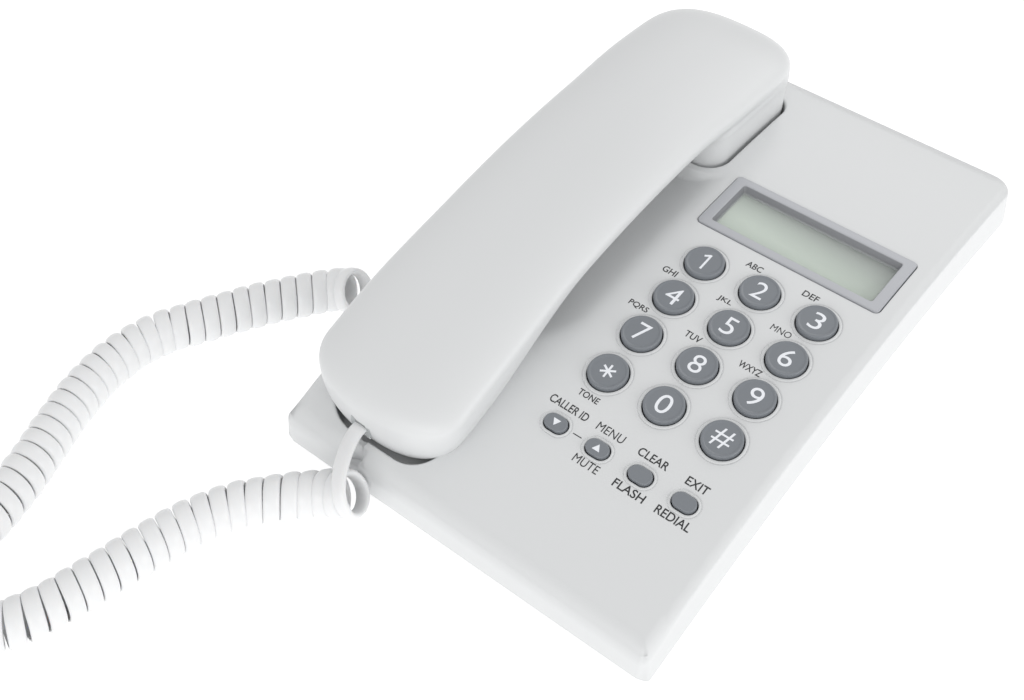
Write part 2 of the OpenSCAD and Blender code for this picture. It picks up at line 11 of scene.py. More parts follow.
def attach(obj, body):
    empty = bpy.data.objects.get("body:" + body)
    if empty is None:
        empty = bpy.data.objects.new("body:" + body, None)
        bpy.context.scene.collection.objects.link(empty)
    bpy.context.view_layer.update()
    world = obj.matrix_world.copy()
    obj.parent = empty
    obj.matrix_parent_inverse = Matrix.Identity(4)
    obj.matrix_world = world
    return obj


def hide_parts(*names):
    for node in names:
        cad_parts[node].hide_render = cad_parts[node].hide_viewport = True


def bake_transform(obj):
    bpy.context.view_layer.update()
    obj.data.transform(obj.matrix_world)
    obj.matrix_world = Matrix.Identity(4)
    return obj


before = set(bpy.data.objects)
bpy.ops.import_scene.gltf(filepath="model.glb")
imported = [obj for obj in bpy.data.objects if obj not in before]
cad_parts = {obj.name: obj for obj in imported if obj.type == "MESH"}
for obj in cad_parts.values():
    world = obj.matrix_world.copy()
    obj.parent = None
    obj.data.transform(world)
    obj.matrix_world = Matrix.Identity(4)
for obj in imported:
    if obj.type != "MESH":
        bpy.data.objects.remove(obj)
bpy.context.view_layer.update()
MM = 0.001
scene = bpy.context.scene

# -------------------- base dimensions
ARCH_R, ARCH_Y = 600.0, 58.5  # radius of the arched top, and where along y it is highest
ARCH_Z = 39.84 - ARCH_R  # height of the arch's centre
TOP_X, TOP_Y, TOP_MID = 69.7, 109.2, -2.8  # half width, half length and middle of the top's corner line
FRONT_R, BACK_R = 2.4, 8.5  # corner radii seen from above
SIDE_ROUND, NOSE_ROUND, CORNER_ROUND = 1.3, 5.4, 2.4  # edge radius, and what front edge and front corners add
LEAN = 0.126  # outward lean of the side and back walls
SKIRT, LEDGE = 12.7, 5.0  # depth of the skirt below the arch, and height of its inner ledge above its foot
KEY_X, KEY_Y = (7.4, 28.4, 49.4), (-45.3, -27.8, -10.3, 7.2)
KEY_HOLE_R, KEY_MARK_R = 6.87, 7.86
SOFT_X, SOFT_Y = (4.85, 20.55, 36.25, 51.95), -68.3
SOFT_HOLE_R, SOFT_MARK_R, SOFT_REACH = 3.02, 3.86, 1.3
LCD_X, LCD_Y = 28.4, 35.1
LCD_HOLE = (34.4, 13.55, 2.0)  # half width, half height and corner radius
HAND_X = -40.9  # middle line of the handset
EAR = (-66.6, -12.9, 44.3, 96.5, 9.0)  # the cradle's pockets: x range, y range, corner radius
MOUTH = (-63.6, -18.6, -104.2, -57.0, 11.4)
EAR_FLOOR, MOUTH_FLOOR, MOUTH_LEFT_R = 26.5, 11.6, 16.0
NOTCH_X, NOTCH_HALF, NOTCH_Z = -42.6, 3.0, 15.0  # the cord's channel in the front edge


def arch(y):
    return ARCH_Z + np.sqrt(ARCH_R**2 - (np.asarray(y, float) - ARCH_Y) ** 2)


def slope(y):
    return math.asin((ARCH_Y - y) / ARCH_R)


def smooth(a, b, t):
    """0 at a and 1 at b, with level ends."""
    t = np.clip((np.asarray(t, float) - a) / (b - a), 0, 1)
    return t * t * (3 - 2 * t)


def on_arch(x, y):
    """Rows of the frame that stands square on the arched top, and its origin."""
    a = slope(y)
    rows = np.array([[1, 0, 0], [0, math.cos(a), math.sin(a)], [0, -math.sin(a), math.cos(a)]])
    return rows, np.array([x, y, float(arch(y))])


def bend(p, c):
    """Moves points from the plane that touches the arch at c onto the arch."""
    p[:, 2] += arch(p[:, 1]) - (c[2] + (p[:, 1] - c[1]) * math.tan(slope(c[1])))
    return p


# -------------------- materials
def material(name, color, rough=0.4, metal=0.0, spec=0.5, coat=0.0, bump=0.0, scale=900.0, vary=0.0,
             alpha=1.0, glass=0.0, ior=1.46, sub=0.0):
    """A Principled material; bump and vary put a fine noise on its surface and its roughness."""
    m = bpy.data.materials.new(name)
    m.use_nodes = True
    nt = m.node_tree
    b = nt.nodes["Principled BSDF"]
    values = {"Base Color": (*color, 1), "Roughness": rough, "Metallic": metal, "Specular IOR Level": spec,
              "Coat Weight": coat, "Coat Roughness": 0.15, "IOR": ior, "Transmission Weight": glass,
              "Alpha": alpha}
    if sub:
        values.update({"Subsurface Weight": sub, "Subsurface Radius": (1, 0.9, 0.8), "Subsurface Scale": MM})
    for key, value in values.items():
        b.inputs[key].default_value = value
    if bump or vary:
        co = nt.nodes.new("ShaderNodeTexCoord")
        no = nt.nodes.new("ShaderNodeTexNoise")
        no.inputs["Scale"].default_value = scale
        no.inputs["Detail"].default_value = 3.0
        nt.links.new(co.outputs["Object"], no.inputs["Vector"])
    if bump:
        bm = nt.nodes.new("ShaderNodeBump")
        bm.inputs["Strength"].default_value = bump
        bm.inputs["Distance"].default_value = 0.0001
        nt.links.new(no.outputs["Fac"], bm.inputs["Height"])
        nt.links.new(bm.outputs["Normal"], b.inputs["Normal"])
    if vary:
        mr = nt.nodes.new("ShaderNodeMapRange")
        mr.inputs["To Min"].default_value = max(rough - vary, 0.02)
        mr.inputs["To Max"].default_value = rough + vary
        nt.links.new(no.outputs["Fac"], mr.inputs["Value"])
        nt.links.new(mr.outputs["Result"], b.inputs["Roughness"])
    return m


M = {
    "white": material("shell_white", (0.70, 0.71, 0.715), 0.36, bump=0.05, scale=2500, vary=0.02),
    "grey_case": material("case_grey", (0.60, 0.61, 0.615), 0.5, bump=0.1, scale=2500, vary=0.03),
    "key": material("key_grey", (0.205, 0.22, 0.24), 0.3, bump=0.03, scale=1500, vary=0.03),
    "print": material("print_white", (0.86, 0.88, 0.92), 0.5, bump=0.02, vary=0.02),
    "ink": material("print_dark", (0.03, 0.031, 0.033), 0.5, bump=0.02, vary=0.02),
    "bezel": material("bezel_silver", (0.44, 0.45, 0.475), 0.33, metal=0.15, bump=0.04, scale=2500, vary=0.03),
    # a darker grey for the bezel's inner walls: painted shade in the display's recess
    "bezel_in": material("bezel_inner_shade", (0.24, 0.245, 0.26), 0.4, bump=0.04, vary=0.03),
    "window": material("window_clear", (0.9, 0.95, 0.92), 0.06, alpha=0.16, spec=0.35, vary=0.01, scale=60),
    "lcd": material("display_green", (0.50, 0.56, 0.49), 0.45, bump=0.02, vary=0.04, scale=40),
    "inner": material("inner_plastic", (0.50, 0.51, 0.52), 0.5, bump=0.05, vary=0.03),
    "board": material("circuit_board", (0.03, 0.16, 0.07), 0.35, coat=0.3, bump=0.1, scale=400, vary=0.05),
    "black": material("component_black", (0.035, 0.036, 0.04), 0.45, bump=0.06, vary=0.05),
    "jack": material("jack_plastic", (0.50, 0.52, 0.53), 0.3, bump=0.04, vary=0.03),
    "dark": material("dark_plastic", (0.09, 0.092, 0.097), 0.42, bump=0.06, vary=0.04),
    "metal": material("bright_metal", (0.62, 0.62, 0.62), 0.28, metal=1.0, bump=0.08, scale=700, vary=0.08),
    "iron": material("weight_iron", (0.16, 0.16, 0.165), 0.55, metal=0.8, bump=0.3, scale=300, vary=0.1),
    "foil": material("battery_foil", (0.05, 0.14, 0.34), 0.3, coat=0.4, bump=0.03, vary=0.05),
    "rubber": material("rubber_dark", (0.045, 0.046, 0.048), 0.7, bump=0.15, scale=800, vary=0.05),
    "mat": material("silicone_mat", (0.32, 0.33, 0.34), 0.5, sub=0.2, bump=0.05, vary=0.05),
    "cord": material("cord_white", (0.80, 0.805, 0.81), 0.33, sub=0.12, bump=0.04, scale=1200, vary=0.04),
    "plug": material("plug_clear", (0.86, 0.89, 0.90), 0.08, glass=0.75, ior=1.5, bump=0.02, vary=0.02),
}
CAD_NODES = {
    "white": "upper_case hook_plunger handset_outer_shell handset_inner_shell",
    "grey_case": "lower_case battery_door",
    "bezel": "lcd_bezel", "window": "lcd_window", "lcd": "lcd_panel", "inner": "lcd_holder", "mat": "key_mat",
    "board": "keypad_board main_board",
    "black": "board_parts hook_switch ringer ringer_switch receiver_capsule",
    "jack": "board_link line_jack cord_jack", "dark": "ringer_slider handset_jack",
    "iron": "base_weight handset_weight", "foil": "battery_cells",
    "rubber": "rubber_feet receiver_gasket mic_boot",
    "metal": "battery_contacts case_screws board_screws handset_screws mic_capsule",
    "plug": "handset_plug base_plug", "cord": "handset_lead base_lead cord_coil",
}
cad_slots = {node: slot for slot, nodes in CAD_NODES.items() for node in nodes.split()}
for name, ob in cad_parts.items():
    ob.data.materials.clear()
    ob.data.materials.append(M[cad_slots.get(name, "key")])


# -------------------- mesh helpers
def add_object(name, data):
    ob = bpy.data.objects.new(name, data)
    scene.collection.objects.link(ob)
    return ob


def add_mesh(name, verts, faces, body, mats, normals=None, slots=None, shade=True):
    """A mesh from millimetre vertices that rides on a body."""
    me = bpy.data.meshes.new(name)
    faces = [tuple(int(i) for i in f) for f in faces]
    me.from_pydata([tuple(v) for v in np.asarray(verts, float) * MM], [], faces)
    for m in mats if isinstance(mats, (list, tuple)) else [mats]:
        me.materials.append(m)
    if slots is not None:
        me.polygons.foreach_set("material_index", np.asarray(slots, np.int32))
    if shade:
        me.shade_smooth()
    me.update()
    if normals is not None:
        me.normals_split_custom_set_from_vertices([tuple(n) for n in normals])
    ob = add_object(name, me)
    if body:
        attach(ob, body)
    return ob


def unit(v):
    v = np.asarray(v, float)
    return v / np.maximum(np.linalg.norm(v, axis=-1, keepdims=True), 1e-12)


def at(o, z):
    """Plan points, or plan directions, with one third part."""
    return np.c_[o, np.full(len(o), z)]


class Skin:
    """Collects loops of points with normals, and the faces between them."""

    def __init__(self):
        self.v, self.n, self.f, self.s, self.geo = [], [], [], [], []

    def loop(self, pts, nrm):
        i = len(self.v)
        self.v += [tuple(p) for p in pts]
        self.n += [tuple(p) for p in nrm]
        self.geo += [False] * len(pts)
        return list(range(i, i + len(pts)))

    def bridge(self, a, b, slot=0):
        m = len(a)
        for k in range(m):
            self.f.append((a[k], b[k], b[(k + 1) % m], a[(k + 1) % m]))
            self.s.append(slot)

    def tube(self, loops):
        for a, b in zip(loops, loops[1:]):
            self.bridge(a, b)

    def fill(self, a):
        self.f.append(tuple(a))
        self.s.append(0)

    def face_normal(self, f, v):
        p = v[list(f)]
        c = p.mean(0)
        return np.cross(p - c, np.roll(p, -1, 0) - c).sum(0)

    def fix_normals(self):
        """Turns every face to agree with its vertices' normals."""
        v, n = np.array(self.v), np.array(self.n)
        for i, f in enumerate(self.f):
            if self.face_normal(f, v) @ n[list(f)].sum(0) < 0:
                self.f[i] = tuple(reversed(f))

    def geometric(self):
        """Replaces the normals of the points marked geo by area-weighted face normals."""
        v, n = np.array(self.v), np.array(self.n)
        acc = np.zeros_like(v)
        for f in self.f:
            fn = self.face_normal(f, v)
            for i in f:
                acc[i] += fn
        g = np.array(self.geo, bool)
        n[g] = unit(acc[g])
        self.n = [tuple(x) for x in n]


def round_rect(x0, x1, y0, y1, r, corner=12, step=4.0, dense=None, count=None, left=None, back=None):
    """Points and outward directions round a rectangle with round corners, anticlockwise from the front edge.

    left is the front left radius and back that of both back corners; dense (x from, x to, step) puts
    closer points on a stretch of the front edge; count gives the points on the x and y edges.
    """
    pts, dirs = [], []
    fl = r if left is None else left
    rb = r if back is None else back

    def edge(a, b, d):
        a, b = np.array(a, float), np.array(b, float)
        n = count[0 if d[0] == 0 else 1] if count else max(1, int(round(np.linalg.norm(b - a) / step)))
        ts = list(np.arange(1, n) / n)
        if dense and d[1] < -0.5:
            lo, hi, close = dense
            xs = [a[0] + (b[0] - a[0]) * t for t in ts]
            xs = [x for x in xs if not lo - 0.5 < x < hi + 0.5] + list(np.arange(lo, hi + 1e-6, close))
            ts = sorted((x - a[0]) / (b[0] - a[0]) for x in xs)
        for t in ts:
            pts.append(a + (b - a) * t)
            dirs.append(d)

    def arc(cx, cy, a0, q):
        for k in range(corner + 1):
            a = math.radians(a0 + 90 * k / corner)
            d = np.array([math.cos(a), math.sin(a)])
            pts.append(np.array([cx, cy]) + q * d)
            dirs.append(d)

    edge((x0 + fl, y0), (x1 - r, y0), np.array([0.0, -1.0]))
    arc(x1 - r, y0 + r, -90, r)
    edge((x1, y0 + r), (x1, y1 - rb), np.array([1.0, 0.0]))
    arc(x1 - rb, y1 - rb, 0, rb)
    edge((x1 - rb, y1), (x0 + rb, y1), np.array([0.0, 1.0]))
    arc(x0 + rb, y1 - rb, 90, rb)
    edge((x0, y1 - rb), (x0, y0 + fl), np.array([-1.0, 0.0]))
    arc(x0 + fl, y0 + fl, 180, fl)
    return np.array(pts), np.array(dirs)


def circle_loop(r, n=48):
    a = np.arange(n) * 2 * math.pi / n
    d = np.c_[np.cos(a), np.sin(a)]
    return d * r, d


def pill_loop(r, reach, n=14):
    """Two half circles whose centres lie reach to either side."""
    pts, dirs = [], []
    for s, a0 in ((1, -90), (-1, 90)):
        for k in range(n + 1):
            a = math.radians(a0 + 180 * k / n)
            d = np.array([math.cos(a), math.sin(a)])
            pts.append(r * d + [s * reach, 0])
            dirs.append(d)
    return np.array(pts), np.array(dirs)


# -------------------- the arched top as a height field
def edge_distance(x, y):
    """Distance inside the top's corner line and the outward direction there."""
    radius = np.where(y < TOP_MID, FRONT_R, BACK_R)
    qx, qy = np.abs(x) - (TOP_X - radius), np.abs(y - TOP_MID) - (TOP_Y - radius)
    out = np.hypot(np.maximum(qx, 0), np.maximum(qy, 0))
    d = radius - (out + np.minimum(np.maximum(qx, qy), 0))
    corner = (qx > 0) & (qy > 0)
    dx = np.where(corner, qx / np.maximum(out, 1e-9), (qx > qy).astype(float)) * np.sign(x)
    dy = np.where(corner, qy / np.maximum(out, 1e-9), (qx <= qy).astype(float)) * np.sign(y - TOP_MID)
    return d, dx, dy


def lean(dy):
    """Outward lean of the side wall: none on the front."""
    return LEAN * (1 - smooth(0.15, 0.95, -np.asarray(dy, float)))


def edge_fillet(dy, y):
    """The rounded edge in the section plane, measured from the corner point.

    Returns its radius, the top's slope outward, its centre (o, z), its end angles and its reach inward.
    """
    front = smooth(0.1, 0.95, -np.asarray(dy, float))
    rho = SIDE_ROUND + NOSE_ROUND * front + CORNER_ROUND * smooth(-92, -108, y) * (1 - front)
    m = dy * np.tan(np.arcsin((ARCH_Y - y) / ARCH_R))
    beta = np.arctan(m)
    g0, g1 = -beta, math.pi / 2 - np.arctan(lean(dy))
    tangent = rho * np.tan((g1 - g0) / 2)
    qo = -tangent * np.cos(beta) + rho * np.sin(beta)
    qz = -tangent * np.sin(beta) - rho * np.cos(beta)
    return rho, m, qo, qz, g0, g1, tangent * np.cos(beta)


def rect_distance(x, y, box):
    """Signed distance outside a rectangle (x range, y range, corner radius)."""
    x0, x1, y0, y1, r = box
    qx = np.abs(x - (x0 + x1) / 2) - (x1 - x0) / 2 + r
    qy = np.abs(y - (y0 + y1) / 2) - (y1 - y0) / 2 + r
    return np.hypot(np.maximum(qx, 0), np.maximum(qy, 0)) + np.minimum(np.maximum(qx, qy), 0) - r


def valley(x, y):
    """Depth of the hollow under the handle: a parabola across, run out softly all round."""
    x, y = np.asarray(x, float), np.asarray(y, float)
    deepest, across, soft = 6.6, 125.0, 1.6
    g = deepest * smooth(-66, -30, y) - (x - HAND_X) ** 2 / across
    g = 0.5 * (g + np.sqrt(g * g + soft)) - 0.12
    g = np.maximum(g, 0) * smooth(-5.0, -12.0, x)
    g = g * smooth(2.4, 6.2, rect_distance(x, y, EAR))
    g = g * smooth(0.6, 6.0, rect_distance(x, y, MOUTH))
    return np.where(y > 70, 0, g)


def ring_marks(x, y):
    """The fine groove round every key, as a height to add."""
    depth, width = 0.22, 0.17
    keys = [(cx, cy, KEY_MARK_R, 0.0) for cy in KEY_Y for cx in KEY_X]
    h = 0.0
    for cx, cy, r, reach in keys + [(cx, SOFT_Y, SOFT_MARK_R, SOFT_REACH) for cx in SOFT_X]:
        q = np.hypot(np.maximum(np.abs(x - cx) - reach, 0), y - cy) - r
        h = h - depth * np.exp(-((q / width) ** 2))
    return h


def top_height(x, y):
    x, y = np.asarray(x, float), np.asarray(y, float)
    d, _, dy = edge_distance(x, y)
    rho, m, qo, qz, _, _, reach = edge_fillet(dy, y)
    o = -d
    drop = m * o - (qz + np.sqrt(np.maximum(rho**2 - (o - qo) ** 2, 1e-9)))
    return arch(y) - np.where(d < reach, np.maximum(drop, 0), 0) - valley(x, y) + ring_marks(x, y)


def top_normal(x, y, e=0.02):
    hx = (top_height(x + e, y) - top_height(x - e, y)) / (2 * e)
    hy = (top_height(x, y + e) - top_height(x, y - e)) / (2 * e)
    return unit(np.c_[-hx, -hy, np.ones_like(hx)])


def notch(p):
    """Lowers points over the cord's channel to its round floor, and says which."""
    p = np.array(p, float)
    dx = p[:, 0] - NOTCH_X
    floor = NOTCH_Z + 3.3 * (dx / NOTCH_HALF) ** 2
    cut = (np.abs(dx) < 1.2 * NOTCH_HALF) & (p[:, 1] < -101.0) & (p[:, 2] > floor)
    p[cut, 2] = floor[cut]
    return p, cut


def scoop(p):
    """The channel down the front edge: points inside a leaning cone move to its surface."""
    p, cut = notch(p)
    down = np.clip(16.5 - p[:, 2], -2, 16)
    r = NOTCH_HALF + down * 0.19
    yc = -109.3 - np.maximum(down, 0) * 0.2
    dx = p[:, 0] - NOTCH_X
    w = np.minimum(yc + np.sqrt(np.maximum(r * r - dx * dx, 0)), -105.65)
    hit = (np.abs(dx) < r) & (p[:, 1] < w)
    p[hit, 1] = w[hit]
    return p, hit | cut


def top_edge(sk):
    """The rounded edge, the leaning skirt and its inner ledge; returns the innermost loop."""
    base, dirs = round_rect(-TOP_X, TOP_X, TOP_MID - TOP_Y, TOP_MID + TOP_Y, FRONT_R, corner=14, step=3.0,
                            dense=(-52, -32, 0.3), back=BACK_R)
    x, y = base[:, 0], base[:, 1]
    rho, _, qo, qz, g0, g1, _ = edge_fillet(dirs[:, 1], y)
    tilt = np.arcsin((ARCH_Y - y) / ARCH_R)
    n_top = np.c_[np.zeros_like(y), -np.sin(tilt), np.cos(tilt)]
    n_wall = unit(np.c_[dirs, lean(dirs[:, 1])])
    ang = np.arccos(np.clip((n_top * n_wall).sum(1), -1, 1))[:, None]
    loops = []

    def place(o, z):
        return np.c_[x + o * dirs[:, 0], y + o * dirs[:, 1], arch(y) + z]

    first, steps = g0 + (g1 - g0) * 0.55, 6
    for k in range(steps + 1):
        g = first + (g1 - first) * k / steps
        p = place(qo + rho * np.sin(g), qz + rho * np.cos(g))
        t = ((g - g0) / (g1 - g0))[:, None]
        n = (np.sin((1 - t) * ang) * n_top + np.sin(t * ang) * n_wall) / np.sin(ang)
        if k == 0:
            p[:, 2] = top_height(p[:, 0], p[:, 1])
            n = top_normal(p[:, 0], p[:, 1])
        loops.append([p, n])
    o0, z0 = qo + rho * np.sin(g1), qz + rho * np.cos(g1)
    foot_r = 0.5
    for t in np.linspace(0, 1, 12)[1:]:
        z = z0 + (-SKIRT + foot_r - z0) * t
        oe = o0 + (z0 - z) * lean(dirs[:, 1])
        loops.append([place(oe, z), n_wall])
    for a in (30, 60, 90):
        ra = math.radians(a)
        n = unit(n_wall * math.cos(ra) + np.array([0, 0, -1.0]) * math.sin(ra))
        loops.append([place(oe - foot_r * (1 - math.cos(ra)), -SKIRT + foot_r - foot_r * math.sin(ra)), n])
    down = np.tile([0, 0, -1.0], (len(y), 1))
    inward = at(-dirs, 0)
    loops.append([place(oe - 2.2, -SKIRT), down])
    hidden = [[place(oe - 2.4, -SKIRT + 0.2), inward], [place(oe - 2.7, -SKIRT + LEDGE), inward],
              [place(oe - 6.2, -SKIRT + LEDGE), down]]
    ids = []
    for p, n in loops:
        q, hit = scoop(p)
        ids.append(sk.loop(q, n))
        for j in np.nonzero(hit)[0]:
            sk.geo[ids[-1][j]] = True
    # the channel doesn't reach the ledge
    for p, n in hidden:
        ids.append(sk.loop(p, n))
        for j in np.nonzero(scoop(p)[1])[0]:
            sk.geo[ids[-1][j]] = True
    sk.tube(ids)
    return ids[0]


def square_hole(sk, cx, cy, outline, deep=2.6, edge=0.25):
    """A hole with a rounded rim that stands square to the arch; outline(e) is its outline grown by e."""
    fr, c = on_arch(cx, cy)
    walls = []
    for k in range(4):
        a = math.radians(90 * k / 3)
        o, ds = outline(edge * (1 - math.sin(a)))
        p = at(o, -edge * (1 - math.cos(a))) @ fr + c
        if k == 0:
            p[:, 2] = top_height(p[:, 0], p[:, 1])
            n = top_normal(p[:, 0], p[:, 1])
        else:
            p = bend(p, c)
            n = at(-ds * math.sin(a), math.cos(a)) @ fr
        walls.append(sk.loop(p, n))
    o, ds = outline(-0.05)
    p = at(o, -deep) @ fr + c
    walls.append(sk.loop(p, at(-ds, 0) @ fr))
    sk.tube(walls)
    return walls[0]


def pocket(sk, box, floor, edge, left=None):
    """An upright pocket with a rounded rim and a rounded foot; returns the loops of its rim and its floor."""
    x0, x1, y0, y1, r = box
    foot_r, draft = 1.2, 0.15
    dense = None if left is None else (-47.0, -38.0, 0.3)

    def ring(e):
        return round_rect(x0 - e, x1 + e, y0 - e, y1 + e, r + e, 12, 1.5, dense=dense,
                          left=None if left is None else left + e)

    o, _ = ring(edge)
    h0 = top_height(o[:, 0], o[:, 1])
    n0 = top_normal(o[:, 0], o[:, 1])
    walls = [sk.loop(np.c_[o, h0], n0)]
    for k in range(1, 6):
        a = math.radians(90 * k / 5)
        q, ds = ring(edge * (1 - math.sin(a)))
        n = unit(n0 * math.cos(a) + at(-ds, 0) * math.sin(a))
        walls.append(sk.loop(np.c_[q, h0 - edge * (1 - math.cos(a))], n))
    for t in (0.35, 0.7, 1.0):
        q, ds = ring(-draft * t)
        z = (h0 - edge) + (floor + foot_r - (h0 - edge)) * t
        walls.append(sk.loop(np.c_[q, z], at(-ds, 0)))
    for k in range(1, 5):
        a = math.radians(90 * k / 4)
        q, ds = ring(-draft - foot_r * (1 - math.cos(a)))
        n = unit(at(-ds * math.cos(a), math.sin(a)))
        walls.append(sk.loop(at(q, floor + foot_r * (1 - math.sin(a))), n))
    for w in walls:
        q, cut = notch([sk.v[i] for i in w])
        for i, v, c in zip(w, q, cut):
            sk.v[i] = tuple(v)
            sk.geo[i] = sk.geo[i] or bool(c)
    sk.tube(walls)
    return walls[0], walls[-1]


def plunger_slot(sk):
    """The hole for the hook plunger in the ear pocket's floor; returns the loop of its rim."""
    o, ds = round_rect(HAND_X - 5.5, HAND_X + 5.3, 56.7, 63.3, 0.6, 3, 3.0)
    rim = sk.loop(at(o, EAR_FLOOR), np.tile([0, 0, 1.0], (len(o), 1)))
    foot = sk.loop(at(o, EAR_FLOOR - 2.1), at(-ds, 0))
    sk.bridge(rim, foot)
    return rim


def triangulate(sk, loops, extra=(), height=top_height, normal=top_normal):
    """Fills the first loop, less the others, with triangles through extra points on a height field."""
    v = np.array(sk.v)
    ids = [i for ring in loops for i in ring]
    co = [Vector((v[i][0], v[i][1])) for i in ids] + [Vector(p) for p in extra]
    edges, k = [], 0
    for ring in loops:
        m = len(ring)
        edges += [(k + j, k + (j + 1) % m) for j in range(m)]
        k += m
    out_v, _, out_f, src, _, _ = delaunay_2d_cdt(co, edges, [], 0, 1e-6)
    ix, pts = {}, []
    for j, (c, s) in enumerate(zip(out_v, src)):
        if s and s[0] < len(ids):
            ix[j] = ids[s[0]]
        else:
            ix[j] = len(sk.v) + len(pts)
            pts.append((c[0], c[1]))
    if pts:
        p = np.array(pts)
        q, hit = scoop(np.c_[p, height(p[:, 0], p[:, 1])])
        i = sk.loop(q, normal(p[:, 0], p[:, 1]))
        for j in np.nonzero(hit)[0]:
            sk.geo[i[j]] = True
    cen = np.array([[sum(out_v[i][k] for i in f) / len(f) for k in (0, 1)] for f in out_f])

    def inside(poly):
        r = np.zeros(len(cen), bool)
        for (ax, ay), (bx, by) in zip(poly, np.roll(poly, -1, 0)):
            if ay != by:
                left_of = cen[:, 0] < (bx - ax) * (cen[:, 1] - ay) / (by - ay) + ax
                r ^= ((ay > cen[:, 1]) != (by > cen[:, 1])) & left_of
        return r

    ok = inside(v[loops[0]][:, :2])
    for ring in loops[1:]:
        ok &= ~inside(v[ring][:, :2])
    for f, good in zip(out_f, ok):
        if good:
            sk.f.append(tuple(ix[i] for i in f))
            sk.s.append(0)


def box_grid(xs, ys):
    return [(x, y) for y in ys for x in xs]


def grown(box, e):
    """Points round a pocket grown by e."""
    x0, x1, y0, y1, r = box
    o, _ = round_rect(x0 - e, x1 + e, y0 - e, y1 + e, r + e, 12, 1.6)
    return [tuple(p) for p in o]


def top_points():
    """Points inside the top: a coarse grid, denser over the valley and the front, and rings round the keys."""
    coarse = box_grid(np.arange(-66, 67, 4.0), np.arange(-98, 104, 4.0))
    pts = [(x + 0.37 * ((y / 4.0) % 2), y) for x, y in coarse]
    pts += box_grid(np.arange(-67.5, -5, 1.5), np.arange(-56.5, 52, 1.5))
    pts += box_grid(np.arange(-64, 66, 1.6), (-106.8, -106.2, -105.4, -104.4, -103.2, -102.0, -100.6, -99.2))
    pts += box_grid(np.arange(-47, -38, 0.4), np.arange(-106.95, -105.5, 0.25))
    for e in (1.6, 2.4, 3.0, 3.6, 4.2, 4.8, 5.4, 6.2, 7.2):
        pts += grown(EAR, e)
    for e in (1.8, 2.6, 3.6, 5.0, 6.6):
        pts += grown(MOUTH, e)
    pts = np.array(pts)
    marks = []
    for x, y in box_grid(KEY_X, KEY_Y):
        radii = (7.35, 7.62, 7.76, KEY_MARK_R, 7.96, 8.1, 8.4)
        marks += [circle_loop(r, 72)[0] + [x, y] for r in radii]
        pts = pts[np.hypot(pts[:, 0] - x, pts[:, 1] - y) > 8.8]
    for x in SOFT_X:
        radii = (3.4, 3.62, 3.76, SOFT_MARK_R, 3.96, 4.1, 4.4)
        marks += [pill_loop(r, SOFT_REACH, 20)[0] + [x, SOFT_Y] for r in radii]
        pts = pts[np.hypot(np.maximum(np.abs(pts[:, 0] - x) - SOFT_REACH, 0), pts[:, 1] - SOFT_Y) > 4.8]
    lcd = (LCD_X - 35.4, LCD_X + 35.4, LCD_Y - 14.6, LCD_Y + 14.6, 2)
    pts = np.vstack([pts[rect_distance(pts[:, 0], pts[:, 1], lcd) > 0]] + marks)
    keep = rect_distance(pts[:, 0], pts[:, 1], EAR) > 1.5
    keep &= rect_distance(pts[:, 0], pts[:, 1], MOUTH) > 1.3
    d, _, dy = edge_distance(pts[:, 0], pts[:, 1])
    keep &= d > 0.9 + 4.3 * smooth(0.1, 0.95, -dy)
    pts = pts[keep]
    apart = 0.12
    _, first = np.unique(np.round(pts / apart).astype(int), axis=0, return_index=True)
    return pts[np.sort(first)]


def build_top():
    sk = Skin()
    rims = [top_edge(sk)]
    for x, y in box_grid(KEY_X, KEY_Y):
        rims.append(square_hole(sk, x, y, lambda e: circle_loop(KEY_HOLE_R + e, 56)))
    for x in SOFT_X:
        rims.append(square_hole(sk, x, SOFT_Y, lambda e: pill_loop(SOFT_HOLE_R + e, SOFT_REACH)))
    w, h, r = LCD_HOLE
    rims.append(square_hole(sk, LCD_X, LCD_Y, lambda e: round_rect(-w - e, w + e, -h - e, h + e, r + e, 8, 4.0),
                            deep=3.0, edge=0.2))
    ear_rim, ear_floor = pocket(sk, EAR, EAR_FLOOR, 0.9)
    mouth_rim, mouth_floor = pocket(sk, MOUTH, MOUTH_FLOOR, 1.1, left=MOUTH_LEFT_R)
    sk.fill(mouth_floor)
    slot = plunger_slot(sk)
    triangulate(sk, rims + [ear_rim, mouth_rim], top_points())
    triangulate(sk, [ear_floor, slot])
    sk.fix_normals()
    sk.geometric()
    return add_mesh("base_top", sk.v, sk.f, "base", M["white"], sk.n)


top = build_top()
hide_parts("upper_case")

# -------------------- handset
ARC_Y, ARC_TOP, ARC_HR = 45.0, 64.1, 411.0  # the back of the handle: where it is highest, its height, radius
FRONT_Y, FRONT_L, BACK_Y, BACK_L = -104.8, 15.6, 103.6, 27.0  # ends of the handset and how far each rounds in
HALF_W, LEVEL = 27.1, 6.6  # half width of the handle, and how far below its back it is widest
MOUTH_FACE = 12.4  # height of the flat mouth face
EAR_BLOCK = ((-66.2, 45.2, 27.6), (-14.3, 97.4, 52.0))  # corners of the block that holds the ear face
SHELL_SEAM = 13.6  # the seam between the shells, below the handle's back
JACK_X, JACK_Z, JACK_HALF_W, JACK_HALF_H = -43.0, 22.4, 2.2, 1.8  # the cord's mouth in the front end


def smin(a, b, k):
    """The lesser of two distances, with a round of width k where they meet."""
    h = np.maximum(k - np.abs(a - b), 0) / k
    return np.minimum(a, b) - h * h * k * 0.25


